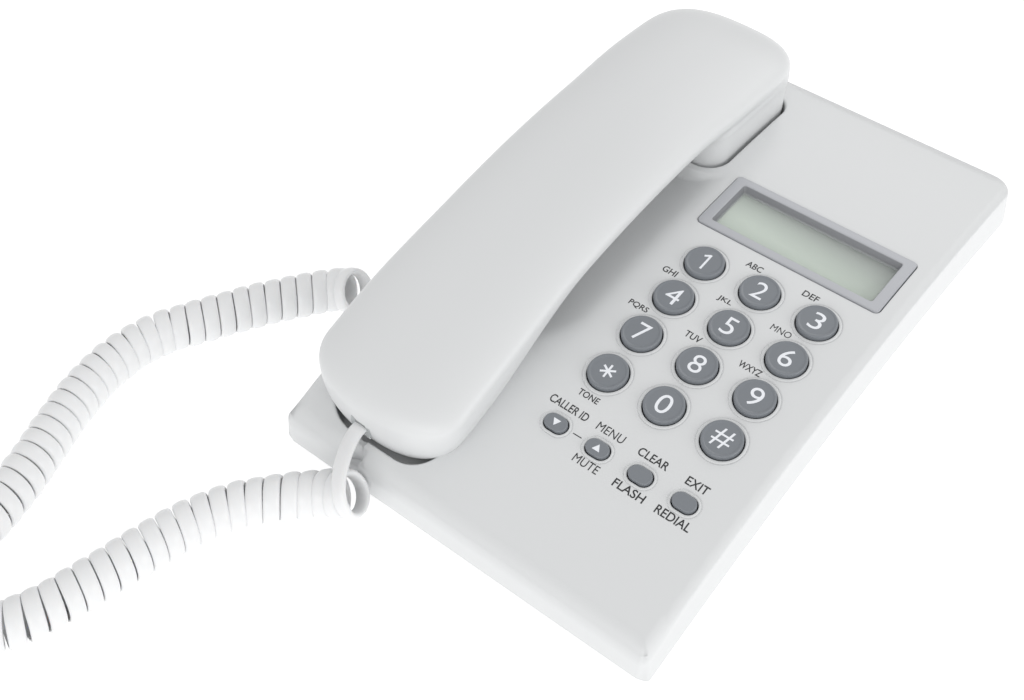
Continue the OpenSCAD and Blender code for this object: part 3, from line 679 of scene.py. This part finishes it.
def box_distance(p, lo, hi, r):
    """Signed distance to a box with its upright edges and its top and bottom edges rounded."""
    c, h = (np.array(lo) + np.array(hi)) / 2, (np.array(hi) - np.array(lo)) / 2
    rx, rz = r
    qx, qy = np.abs(p[..., 0] - c[0]) - h[0] + rx, np.abs(p[..., 1] - c[1]) - h[1] + rx
    dxy = np.hypot(np.maximum(qx, 0), np.maximum(qy, 0)) + np.minimum(np.maximum(qx, qy), 0) - rx
    dz = np.abs(p[..., 2] - c[2]) - h[2]
    a, b = dxy + rz, dz + rz
    return np.hypot(np.maximum(a, 0), np.maximum(b, 0)) + np.minimum(np.maximum(a, b), 0) - rz


def handle_gauge(p):
    """Below 0 inside the arched handle, a flattened superellipse across that closes at both ends."""
    x, y, z = p[..., 0] - HAND_X, p[..., 1], p[..., 2]
    drop = ARC_HR - np.hypot(y - ARC_Y, z - (ARC_TOP - ARC_HR))
    w = HALF_W + 1.25 * smooth(-30, -75, y) + 1.1 * smooth(30, 62, y)
    front, back = FRONT_Y + FRONT_L, BACK_Y - BACK_L
    q = np.where(y < 0, 2.34, 2.78)
    e = np.maximum(front - y, 0) / FRONT_L + np.maximum(y - back, 0) / BACK_L
    plan = (np.abs(x / w) ** q + np.abs(e) ** q) ** (1 / q)
    low = 10.0 + 16.0 * smooth(-22, -78, y) - 4.5 * smooth(-84, -102, y) + 3.0 * smooth(20, 60, y)
    up = (plan**2.5 + (np.maximum(LEVEL - drop, 0) / LEVEL) ** 2.5) ** 0.4
    qd = 2.0 + 0.25 * smooth(-22, -78, y)
    dn = (plan**qd + (np.maximum(drop - LEVEL, 0) / low) ** qd) ** (1 / qd)
    return np.where(drop < LEVEL, up, dn) - 1


def handle_distance(p, e=0.05):
    """The gauge over its own gradient, which is nearly a distance."""
    f = handle_gauge(p)
    g = [(handle_gauge(p + d) - handle_gauge(p - d)) / (2 * e) for d in np.eye(3) * e]
    return f / np.maximum(np.sqrt(g[0] ** 2 + g[1] ** 2 + g[2] ** 2), 0.015)


def handset_field(p):
    d = handle_distance(p)
    d = -smin(-d, p[..., 2] - MOUTH_FACE, 3.0)
    ear = box_distance(p, *EAR_BLOCK, (9.5, 2.2))
    return smin(d, ear, 4.0)


def surface_nets(field, lo, hi, step):
    """Quads of the zero surface of a field on a grid, moved onto it, with unit gradients."""
    ax = [np.arange(lo[k], hi[k] + step, step) for k in range(3)]
    P = np.stack(np.meshgrid(*ax, indexing="ij"), -1)
    F = field(P)
    S = F < 0
    n = np.array(F.shape) - 1
    acc, cnt = np.zeros((*n, 3)), np.zeros(n)
    corners = [(i, j, k) for i in (0, 1) for j in (0, 1) for k in (0, 1)]

    def sub(A, c):
        return A[c[0]:c[0] + n[0], c[1]:c[1] + n[1], c[2]:c[2] + n[2]]

    for a in corners:
        for d in range(3):
            if a[d]:
                continue
            b = tuple(a[k] + (k == d) for k in range(3))
            fa, fb = sub(F, a), sub(F, b)
            cross = (fa < 0) != (fb < 0)
            t = np.where(cross, fa / np.where(cross, fa - fb, 1), 0)
            pt = np.array(a, float)[None, None, None] + t[..., None] * np.eye(3)[d]
            acc += np.where(cross[..., None], pt, 0)
            cnt += cross
    on = cnt > 0
    idx = -np.ones(n, int)
    idx[on] = np.arange(on.sum())
    cells = np.argwhere(on)
    V = np.array(lo) + (cells + acc[on] / cnt[on][:, None]) * step
    quads = []
    for d in range(3):
        u, v = (d + 1) % 3, (d + 2) % 3
        sl = [slice(1, -1)] * 3
        sl[d] = slice(0, -1)
        sh = [slice(1, -1)] * 3
        sh[d] = slice(1, None)
        a, b = S[tuple(sl)], S[tuple(sh)]
        w = np.argwhere(a != b)
        inside = a[tuple(w.T)]
        w[:, u] += 1
        w[:, v] += 1
        e1, e2 = np.zeros(3, int), np.zeros(3, int)
        e1[u], e2[v] = 1, 1
        q = np.stack([idx[tuple((w - s1 * e1 - s2 * e2).T)] for s1, s2 in ((0, 0), (1, 0), (1, 1), (0, 1))], 1)
        q[~inside] = q[~inside][:, ::-1]
        quads.append(q)
    Q = np.vstack(quads)

    def grad(p, e=0.04):
        return np.stack([(field(p + d) - field(p - d)) / (2 * e) for d in np.eye(3) * e], -1)

    for _ in range(4):
        g = grad(V)
        V = V - (field(V) / np.maximum((g**2).sum(-1), 0.05))[:, None] * g
    return V, Q, unit(grad(V))


def build_handset():
    """The two shells, parted at the seam; the faces in front of the jack are left out for the cord."""
    V, Q, N = surface_nets(handset_field, (-71.5, -107.5, 10.0), (-10.5, 106.5, 67.0), 1.0)
    ctr = V[Q].mean(1)
    mouth = (np.abs(ctr[:, 0] - JACK_X) < JACK_HALF_W) & (np.abs(ctr[:, 2] - JACK_Z) < JACK_HALF_H)
    mouth &= ctr[:, 1] < -95
    upper = ARC_HR - np.hypot(ctr[:, 1] - ARC_Y, ctr[:, 2] - (ARC_TOP - ARC_HR)) < SHELL_SEAM
    shells = []
    for name, pick in (("handset_top_shell", upper), ("handset_under_shell", ~upper)):
        q = Q[pick & ~mouth]
        used, inv = np.unique(q, return_inverse=True)
        shells.append(add_mesh(name, V[used], inv.reshape(q.shape), "handset", M["white"], N[used]))
    return shells


hand_top, hand_under = build_handset()
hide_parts("handset_outer_shell")
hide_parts("handset_inner_shell")


def open_edges(faces):
    """The edges that belong to one face only, in that face's direction."""
    edges = {(a, b): True for f in faces for a, b in zip(f, f[1:] + f[:1])}
    return [(a, b) for a, b in edges if (b, a) not in edges]


def grille(name, cy, z, radius, proud, rings, hole=0.8):
    """A round plate with real holes under one end of the handset, and the dark cloth behind them."""
    turns = [(r, 2 * math.pi * k / n) for r, n in rings for k in range(n)]
    centres = [(0.0, 0.0)] + [(r * math.cos(a), r * math.sin(a)) for r, a in turns]
    outlines = [circle_loop(radius, 64)[0]] + [circle_loop(hole, 14)[0] + c for c in centres]
    co = [Vector(q) for o in outlines for q in o]
    edges, k = [], 0
    for o in outlines:
        edges += [(k + j, k + (j + 1) % len(o)) for j in range(len(o))]
        k += len(o)
    out_v, _, out_f, _, _, _ = delaunay_2d_cdt(co, edges, [], 0, 1e-6)
    flat = np.array([q[:] for q in out_v])
    keep = []
    for f in out_f:
        m = flat[list(f)].mean(0)
        if min(math.hypot(m[0] - a, m[1] - b) for a, b in centres) > hole * 0.98:
            keep.append(tuple(reversed(f)))
    n = len(flat)
    v = np.vstack([at(flat, z - proud), at(flat, z + 0.1)]) + [HAND_X, cy, 0]
    rim = [(b, a, a + n, b + n) for a, b in open_edges(keep)]
    add_mesh(name, v, keep + rim, "handset", M["white"], shade=False)
    o, _ = circle_loop(radius - 0.4, 48)
    cloth = at(o + [HAND_X, cy], z - 0.03)
    add_mesh(name + "_cloth", cloth, [tuple(reversed(range(len(o))))], "handset", M["black"], shade=False)


grille("receiver_grille", 71.5, 27.6, 13.0, 0.5, ((3.2, 6), (6.4, 12), (9.6, 18)))
grille("microphone_grille", -79.0, 12.4, 6.0, 0.35, ((3.0, 6),))


# -------------------- keys
CAP_R, CAP_RISE = 6.5, 1.6
SOFT_CAP_R, SOFT_RISE = 2.65, 1.2
DIGIT_TOP, DIGIT_FOOT, DIGIT_H = 1.43, 1.36, 6.9  # heights above the arch of a print's face and foot, its size
DIGIT_W = {"#": 6.3, "4": 5.0, "0": 4.8, "7": 4.3, "2": 4.3, "3": 4.2, "5": 4.2}
DIGIT_W_ELSE = 4.5
ONE = [(0.05, -3.45), (0.8, -3.45), (0.8, 3.45), (0.15, 3.45), (-1.6, 2.3), (-1.25, 1.65), (0.05, 2.45)]
ARROW_TOP, ARROW_FOOT = 1.2, 1.1
ROWS = (("key_star", "key_0", "key_hash"), ("key_7", "key_8", "key_9"), ("key_4", "key_5", "key_6"),
        ("key_1", "key_2", "key_3"))
SIGNS = {"key_star": "*", "key_hash": "#"}
LEGENDS = {"key_2": ("ABC", 5.3), "key_3": ("DEF", 5.1), "key_4": ("GHI", 4.8), "key_5": ("JKL", 4.7),
           "key_6": ("MNO", 6.4), "key_7": ("PQRS", 6.5), "key_8": ("TUV", 5.3), "key_9": ("WXYZ", 7.2)}
SOFT = (("key_down", "CALLER ID", 14.2, None, 0), ("key_up", "MENU", 9.8, "MUTE", 9.0),
        ("key_clear", "CLEAR", 10.6, "FLASH", 11.0), ("key_redial", "EXIT", 7.6, "REDIAL", 12.0))


def revolve(name, profile, fr, c, body, mats, n=56, reach=0.0):
    """A closed turned piece from (radius, height) points, square to the arch."""
    prof = np.array(profile, float)
    t = np.gradient(prof, axis=0)
    sk = Skin()
    ids = []
    for (r, h), (tr, th) in zip(prof, t):
        o, ds = pill_loop(max(r, 0.05), reach) if reach else circle_loop(max(r, 0.001), n)
        nn = unit([th, -tr])
        n_ring = at(ds * nn[0], nn[1]) @ fr
        ids.append(sk.loop(at(o, h) @ fr + c, n_ring))
    sk.tube(ids)
    sk.fill(ids[-1])
    sk.fill(ids[0][::-1])
    sk.fix_normals()
    return add_mesh(name, sk.v, sk.f, body, mats, sk.n)


def cap_profile(r, rise, edge, dish):
    """Wall, rounded edge and shallow dished face of a key cap, from its foot to its middle."""
    p = [(r - 0.4, -3.2), (r, -3.1), (r, -1.5), (r, rise - edge - 0.3), (r - 0.01, rise - edge)]
    for k in range(1, 7):
        a = math.radians(90 * k / 6)
        p.append((r - edge * (1 - math.cos(a)), rise - edge * (1 - math.sin(a))))
    r0, face = r - edge, rise - 0.03
    p += [(r0 - 0.12, rise), (r0 - 0.26, face)]
    for k in range(1, 6):
        t = k / 5
        p.append((r0 - 0.26 - 0.5 * t, face - dish * (3 * t * t - 2 * t**3)))
    low = face - dish
    return p + [(r0 - 1.2, low - 0.005), ((r0 - 1) * 0.5, low - 0.01), (0.05, low - 0.01)]


def glyphs(name, text, bold):
    """Vertices and faces of a text set in Blender's own font, centred."""
    cu = bpy.data.curves.new(name, "FONT")
    cu.body = text
    cu.align_x, cu.align_y = "CENTER", "CENTER"
    cu.size = 1.0
    # a thickened M fills its own gaps
    cu.offset = 0.0 if "M" in text else bold
    cu.resolution_u = 6
    tmp = add_object(name + "_t", cu)
    dg = bpy.context.evaluated_depsgraph_get()
    me = bpy.data.meshes.new_from_object(tmp.evaluated_get(dg))
    v = np.array([q.co[:] for q in me.vertices])
    f = [tuple(p.vertices) for p in me.polygons]
    bpy.data.objects.remove(tmp)
    bpy.data.meshes.remove(me)
    return v - (v.min(0) + v.max(0)) / 2, f


def lettering(name, text, height, width, fr, c, body, mat, lift, thick, bold):
    """Printed text as a thin mesh with sides, fitted to a height and a width."""
    v, f = glyphs(name, text, bold)
    span = v.max(0) - v.min(0)
    v[:, 0] *= width / span[0]
    v[:, 1] *= height / span[1]
    v[:, 2] = lift
    n = len(v)
    faces = f + [(b, a, a + n, b + n) for a, b in open_edges(f)]
    w = np.vstack([v, v - [0, 0, thick]]) @ fr + c
    if body == "base":
        w = bend(w, c)
    return add_mesh(name, w, faces, body, mat, shade=False)


def legend(name, text, height, width, x, y):
    fr, c = on_arch(x, y)
    lettering(name, text, height, width, fr, c, "base", M["ink"], lift=0.03, thick=0.02, bold=0.012)


def plates(name, outlines, foot, fr, c, body):
    """Flat prints with sides; each outline is its points and the height of its face."""
    v, f = [], []
    for pts, face in outlines:
        i, n = len(v), len(pts)
        v += [(a, b, face) for a, b in pts] + [(a, b, foot) for a, b in pts]
        f.append(tuple(range(i, i + n)))
        f += [(i + k, i + n + k, i + n + (k + 1) % n, i + (k + 1) % n) for k in range(n)]
    add_mesh(name, np.array(v) @ fr + c, f, body, M["print"], shade=False)


def star_arms():
    """Three crossing bars; each face lies a little above the last, so that none coincide."""
    long, wide, rise = 2.55, 0.36, 0.004
    arms = []
    for k in range(3):
        a = math.radians(30 + 60 * k)
        d = np.array([math.cos(a), math.sin(a)])
        e = np.array([-d[1], d[0]])
        corners = [d * long * s1 + e * wide * s2 for s1, s2 in ((-1, -1), (1, -1), (1, 1), (-1, 1))]
        arms.append((corners, DIGIT_TOP + rise * k))
    return arms


def round_key(name, x, y):
    fr, c = on_arch(x, y)
    cap = revolve(name + "_cap", cap_profile(CAP_R, CAP_RISE, 0.42, 0.16), fr, c, name, M["key"])
    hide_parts(name)
    sign = SIGNS.get(name, name[-1])
    if sign == "*":
        plates("print_" + name, star_arms(), DIGIT_FOOT, fr, c, name)
    elif sign == "1":
        plates("print_" + name, [(ONE, DIGIT_TOP)], DIGIT_FOOT, fr, c, name)
    else:
        lettering("print_" + name, sign, DIGIT_H, DIGIT_W.get(sign, DIGIT_W_ELSE), fr, c, name, M["print"],
                  lift=DIGIT_TOP, thick=DIGIT_TOP - DIGIT_FOOT, bold=-0.003)
    if name in LEGENDS:
        text, width = LEGENDS[name]
        legend("legend_" + name, text, 2.5, width * 1.1, x - 7.3, y + 8.55)


def soft_key(name, x, above, above_w, below, below_w):
    fr, c = on_arch(x, SOFT_Y)
    cap = revolve(name + "_cap", cap_profile(SOFT_CAP_R, SOFT_RISE, 0.4, 0.0), fr, c, name, M["key"],
                  reach=SOFT_REACH)
    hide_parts(name)
    legend("legend_top_" + name, above, 2.9, above_w, x, SOFT_Y + 6.7)
    if below:
        legend("legend_low_" + name, below, 2.9, below_w, x, SOFT_Y - 5.7)
    way = {"key_down": -1, "key_up": 1}.get(name)
    if way:
        arrow = [(-1.35, -1.05 * way), (1.35, -1.05 * way), (0, 1.25 * way)]
        plates("print_" + name, [(arrow, ARROW_TOP)], ARROW_FOOT, fr, c, name)


def middle_key_dot():
    fr, c = on_arch(KEY_X[1], KEY_Y[2])
    profile = [(0.36, 1.3), (0.36, 1.42), (0.33, 1.55), (0.24, 1.64), (0.1, 1.68)]
    revolve("key_5_dot", profile, fr, c + np.array([0, -4.3, 0]) @ fr, "key_5", M["key"], n=16)


def legend_dash():
    """The dash between the two arrow keys."""
    fr, c = on_arch((SOFT_X[0] + SOFT_X[1]) / 2, SOFT_Y + 0.3)
    dash = np.array([(-1.6, -0.17, 0.03), (1.6, -0.17, 0.03), (1.6, 0.17, 0.03), (-1.6, 0.17, 0.03)])
    add_mesh("legend_dash", dash @ fr + c, [(0, 1, 2, 3)], "base", M["ink"], shade=False)


for row, names in enumerate(ROWS):
    for col, name in enumerate(names):
        round_key(name, KEY_X[col], KEY_Y[row])
middle_key_dot()
legend("legend_tone", "TONE", 2.3, 7.5, KEY_X[0], KEY_Y[0] - 9.9)
for x, (name, *legends) in zip(SOFT_X, SOFT):
    soft_key(name, x, *legends)
legend_dash()


# -------------------- display
def build_bezel():
    """The display's frame: rounded rectangles from its outer foot over its face to its inner foot; its inner
    walls get a darker grey as painted shade in the recess.
    """
    fr, c = on_arch(LCD_X, LCD_Y)
    sk = Skin()
    w0, h0 = 34.1, 13.3
    # how far in x and in y, corner radius, height, and the normal's parts outward and up
    steps = [(0.3, 0.3, 1.2, -3.0, (1, 0)), (0, 0, 1.5, -1.0, (1, 0)), (0, 0, 1.5, 0.25, (1, 0.2)),
             (0.12, 0.12, 1.4, 0.47, (0.6, 1)), (0.35, 0.35, 1.2, 0.55, (0, 1)), (3.5, 2.75, 1.1, 0.55, (0, 1)),
             (3.7, 2.95, 1.0, 0.5, (-0.5, 1)), (3.85, 3.1, 0.9, 0.3, (-1, 0.6)),
             (4.9, 4.15, 0.6, -4.2, (-1, 0.35)), (4.95, 4.2, 0.5, -5.0, (-1, 0.1))]
    # from this step on, the inner walls take the darker material, painted shade in the recess
    inner_wall = 7
    ids = []
    for dx, dy, r, z, nn in steps:
        o, ds = round_rect(dx - w0, w0 - dx, dy - h0, h0 - dy, r, 5, count=(20, 8))
        out, up = unit(nn)
        p = bend(at(o, z) @ fr + c, c)
        ids.append(sk.loop(p, at(ds * out, up) @ fr))
    for k, (a, b) in enumerate(zip(ids, ids[1:])):
        sk.bridge(a, b, 1 if k >= inner_wall else 0)
    sk.fix_normals()
    return add_mesh("display_frame", sk.v, sk.f, "base", [M["bezel"], M["bezel_in"]], sk.n, slots=sk.s)


def display_sheet(name, w, h, z, mat, node):
    """A closed thin sheet under the display's opening, bent with the arch."""
    fr, c = on_arch(LCD_X, LCD_Y)
    nx, ny, thick = 12, 4, 0.4
    row, sheet = nx + 1, (nx + 1) * (ny + 1)
    grid = [(-w + 2 * w * i / nx, -h + 2 * h * j / ny) for j in range(ny + 1) for i in range(row)]
    v = np.array([(a, b, z) for a, b in grid] + [(a, b, z - thick) for a, b in grid]) @ fr + c
    cells = [j * row + i for j in range(ny) for i in range(nx)]
    q = [(k, k + 1, k + row + 1, k + row) for k in cells]
    rim = list(range(row)) + [row * j + nx for j in range(1, ny + 1)]
    rim += list(range(sheet - 2, sheet - row - 1, -1)) + [row * j for j in range(ny - 1, 0, -1)]
    side = [(a, a + sheet, b + sheet, b) for a, b in zip(rim, rim[1:] + rim[:1])]
    under = [tuple(k + sheet for k in reversed(f)) for f in q]
    ob = add_mesh(name, bend(v, c), q + under + side, "base", mat, shade=False)
    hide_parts(node)


def display_shade_material():
    """Pale green with painted shade: darker and greyer toward the back and left walls, standing in for the
    shade the walls cast on the panel.
    """
    m = material("display_painted_shade", (0.5, 0.5, 0.5), 0.45)
    nt = m.node_tree
    co, sep = nt.nodes.new("ShaderNodeTexCoord"), nt.nodes.new("ShaderNodeSeparateXYZ")
    ramp = nt.nodes.new("ShaderNodeValToRGB")
    ramp.color_ramp.elements[0].color = (0.56, 0.63, 0.55, 1)
    # the ramp's second colour is painted shade, not the panel's own colour
    ramp.color_ramp.elements[1].color = (0.17, 0.19, 0.175, 1)
    ramp.color_ramp.elements[0].position = 0.35
    nt.links.new(co.outputs["Generated"], sep.inputs["Vector"])
    back, mix = nt.nodes.new("ShaderNodeMath"), nt.nodes.new("ShaderNodeMath")
    back.operation, mix.operation = "MULTIPLY", "MULTIPLY_ADD"
    back.inputs[1].default_value, mix.inputs[1].default_value = 0.75, 0.3
    nt.links.new(sep.outputs["Y"], back.inputs[0])
    nt.links.new(sep.outputs["X"], mix.inputs[0])
    nt.links.new(back.outputs["Value"], mix.inputs[2])
    nt.links.new(mix.outputs["Value"], ramp.inputs["Fac"])
    nt.links.new(ramp.outputs["Color"], nt.nodes["Principled BSDF"].inputs["Base Color"])
    return m


bezel = build_bezel()
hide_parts("lcd_bezel")
display_sheet("display_glass", 29.6, 9.5, -2.0, M["window"], "lcd_window")
display_sheet("display_panel", 29.6, 9.5, -2.9, display_shade_material(), "lcd_panel")


# -------------------- cord
COIL_R, COIL_Z, TURNS, COIL_START = 6.55, 7.9, 60.22, math.radians(-78)
FLAT_W, FLAT_T, FLAT_POWER = 5.2, 2.35, 2.3  # width, thickness and squareness of the cord's section
PLUG, JACK = np.array([-43, -104.6, 22.5]), np.array([-63.4, -36, 10.5])  # where the cord meets both plugs
LYING = ((-52, -133), (-60, -143), (-65.5, -154), (-69, -166), (-71.5, -178), (-74, -190), (-77, -203),
         (-81.5, -214), (-89, -223), (-99, -226), (-108, -221), (-113, -211), (-115, -199), (-117.5, -187),
         (-121.5, -174), (-126.5, -161), (-131, -148), (-134, -135), (-134.5, -122), (-132, -110), (-127, -100),
         (-121, -89), (-114, -77))
COIL = ([(-33.0, -119.6, 12.3), (-37.2, -120.9, 10.1), (-41.4, -123.0, 8.8), (-46.2, -126.9, COIL_Z)]
        + [(x, y, COIL_Z) for x, y in LYING]
        + [(-101.8, -59.6, COIL_Z), (-97.2, -56.0, 8.5), (-92.6, -54.4, 10.3)])


def travelled(pts):
    return np.r_[0, np.cumsum(np.linalg.norm(np.diff(pts, axis=0), axis=1))]


def even(pts, n):
    """n points at equal steps along a line of points."""
    s = travelled(pts)
    t = np.linspace(0, s[-1], n)
    return np.stack([np.interp(t, s, pts[:, k]) for k in range(3)], 1)


def spline(pts, n):
    """Evenly spaced points on a Catmull-Rom curve."""
    p = np.array(pts, float)
    p = np.vstack([2 * p[0] - p[1], p, 2 * p[-1] - p[-2]])
    out = []
    for i in range(1, len(p) - 2):
        a, b, c, d = p[i - 1:i + 3]
        square, cube = 2 * a - 5 * b + 4 * c - d, 3 * b - a - 3 * c + d
        for t in np.linspace(0, 1, 40, endpoint=False):
            out.append(0.5 * (2 * b + (c - a) * t + square * t * t + cube * t**3))
    return even(np.array(out + [p[-2]]), n)


def bezier(a, b, c, d, n):
    t = np.linspace(0, 1, n)[:, None]
    return (1 - t) ** 3 * a + 3 * t * (1 - t) ** 2 * b + 3 * t * t * (1 - t) * c + t**3 * d


def turn(a, b, n):
    """Directions that turn smoothly from a to b."""
    k = smooth(0, 1, np.linspace(0, 1, n))[:, None]
    return unit((1 - k) * a + k * b)


def coil():
    """The coil's wire and the direction of its axis beside each point."""
    axis = spline(COIL, 1500)
    n = int(TURNS * 24)
    s = travelled(axis)
    ss = np.linspace(0, s[-1], n)
    middle = even(axis, n)
    along = unit(np.gradient(middle, axis=0))
    side = unit(np.cross(along, [0, 0, 1.0]))
    up = np.cross(side, along)
    th = COIL_START - 2 * math.pi * TURNS * ss / s[-1]
    out = np.cos(th)[:, None] * up + np.sin(th)[:, None] * side
    uneven = 0.06 * np.sin(ss * 0.37) + 0.05 * np.sin(ss * 0.11 + 1.0)
    return middle + (COIL_R + uneven)[:, None] * out, along


def build_cord():
    """One flat cord: plug to coil, the coil itself, and coil to the jack in the base's side."""
    helix, along = coil()
    t0, t1 = unit(helix[1] - helix[0]), unit(helix[-1] - helix[-2])
    lead = bezier(PLUG + [0, -1.6, 0], PLUG + [0, -7.0, -1.6], helix[0] - 9.5 * t0, helix[0], 40)
    lead = np.vstack([PLUG, PLUG + [0, -0.8, 0], lead[:-1]])
    tail = bezier(helix[-1], helix[-1] + 13 * t1, JACK + [-20, -1, 0.5], JACK + [-2.5, 0, 0], 46)
    tail = np.vstack([tail[1:], JACK])
    path = np.vstack([lead, helix, tail])
    # the ribbon's width points across at the plug, along the axis in the coil and back at the jack
    wide = np.vstack([turn(np.array([-1.0, 0, 0]), along[0], len(lead)), along,
                      turn(along[-1], np.array([0, 1.0, 0]), len(tail))])
    tan = unit(np.gradient(path, axis=0))
    wide = unit(wide - (wide * tan).sum(1)[:, None] * tan)
    thick = np.cross(tan, wide)
    m = 16
    ang = np.arange(m) * 2 * math.pi / m
    cos, sin = np.cos(ang), np.sin(ang)

    def across(a, b):
        """The section's points, as parts of the width and the thickness directions."""
        return (a[None, :, None] * wide[:, None, :] + b[None, :, None] * thick[:, None, :]).reshape(-1, 3)

    e = 2 / FLAT_POWER
    cw = np.sign(cos) * np.abs(cos) ** e * FLAT_W / 2
    ct = np.sign(sin) * np.abs(sin) ** e * FLAT_T / 2
    nw = np.sign(cw) * np.abs(cw / (FLAT_W / 2)) ** (FLAT_POWER - 1) / (FLAT_W / 2)
    nt = np.sign(ct) * np.abs(ct / (FLAT_T / 2)) ** (FLAT_POWER - 1) / (FLAT_T / 2)
    verts = np.repeat(path, m, axis=0) + across(cw, ct)
    faces = []
    for i in range(len(path) - 1):
        a, b = i * m, (i + 1) * m
        faces += [(a + k, a + (k + 1) % m, b + (k + 1) % m, b + k) for k in range(m)]
    last = (len(path) - 1) * m
    faces += [tuple(range(m))[::-1], tuple(last + k for k in range(m))]
    ob = add_mesh("curly_cord", verts, faces, None, M["cord"], unit(across(nw, nt)))
    length = float(travelled(path)[-1])
    print("cord length", length)
    return ob, path, length


cord, cord_path, cord_length = build_cord()
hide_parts("handset_lead", "cord_coil", "base_lead")
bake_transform(cord)


# -------------------- floor, lights, camera
def stage():
    """A white floor and surround that glow, three soft lights and the camera; metres and watts."""
    glow = 0.72
    me = bpy.data.meshes.new("floor")
    me.from_pydata([(-4, -4, 0), (4, -4, 0), (4, 4, 0), (-4, 4, 0)], [], [(0, 1, 2, 3)])
    fm = material("floor_white", (0.5, 0.5, 0.5), 0.8, bump=0.02, scale=40)
    fb = fm.node_tree.nodes["Principled BSDF"]
    fb.inputs["Emission Color"].default_value = (1, 1, 1, 1)
    fb.inputs["Emission Strength"].default_value = glow
    me.materials.append(fm)
    fl = add_object("floor", me)
    w = bpy.data.worlds.new("studio")
    scene.world = w
    w.use_nodes = True
    w.node_tree.nodes["Background"].inputs["Color"].default_value = (1, 1, 1, 1)
    w.node_tree.nodes["Background"].inputs["Strength"].default_value = glow

    def area(name, loc, target, size, power):
        li = bpy.data.lights.new(name, "AREA")
        li.shape = "RECTANGLE"
        li.size, li.size_y = size
        li.energy = power
        ob = add_object(name, li)
        ob.location = loc
        ob.rotation_euler = (Vector(target) - Vector(loc)).to_track_quat("-Z", "Y").to_euler()

    area("right_light", (1.3, 0.1, 0.55), (0.05, 0, 0.02), (1.0, 0.7), 5.2)
    area("back_light", (-0.1, 1.1, 0.9), (0, 0.05, 0.03), (1.0, 0.6), 3.0)
    area("front_light", (0.2, -1.4, 0.55), (0, 0, 0.02), (1.2, 0.7), 5)
    cam = bpy.data.cameras.new("camera")
    ob = add_object("camera", cam)
    ob.location = (0.1616, -0.2873, 0.3657)
    ob.rotation_euler = (math.radians(41.34), 0, math.radians(38.87))
    cam.lens = 49.85
    cam.sensor_width = 36
    cam.shift_x, cam.shift_y = 0.0062, 0.0005
    cam.clip_start = 0.01
    scene.camera = ob


stage()
scene.view_settings.view_transform = "Standard"
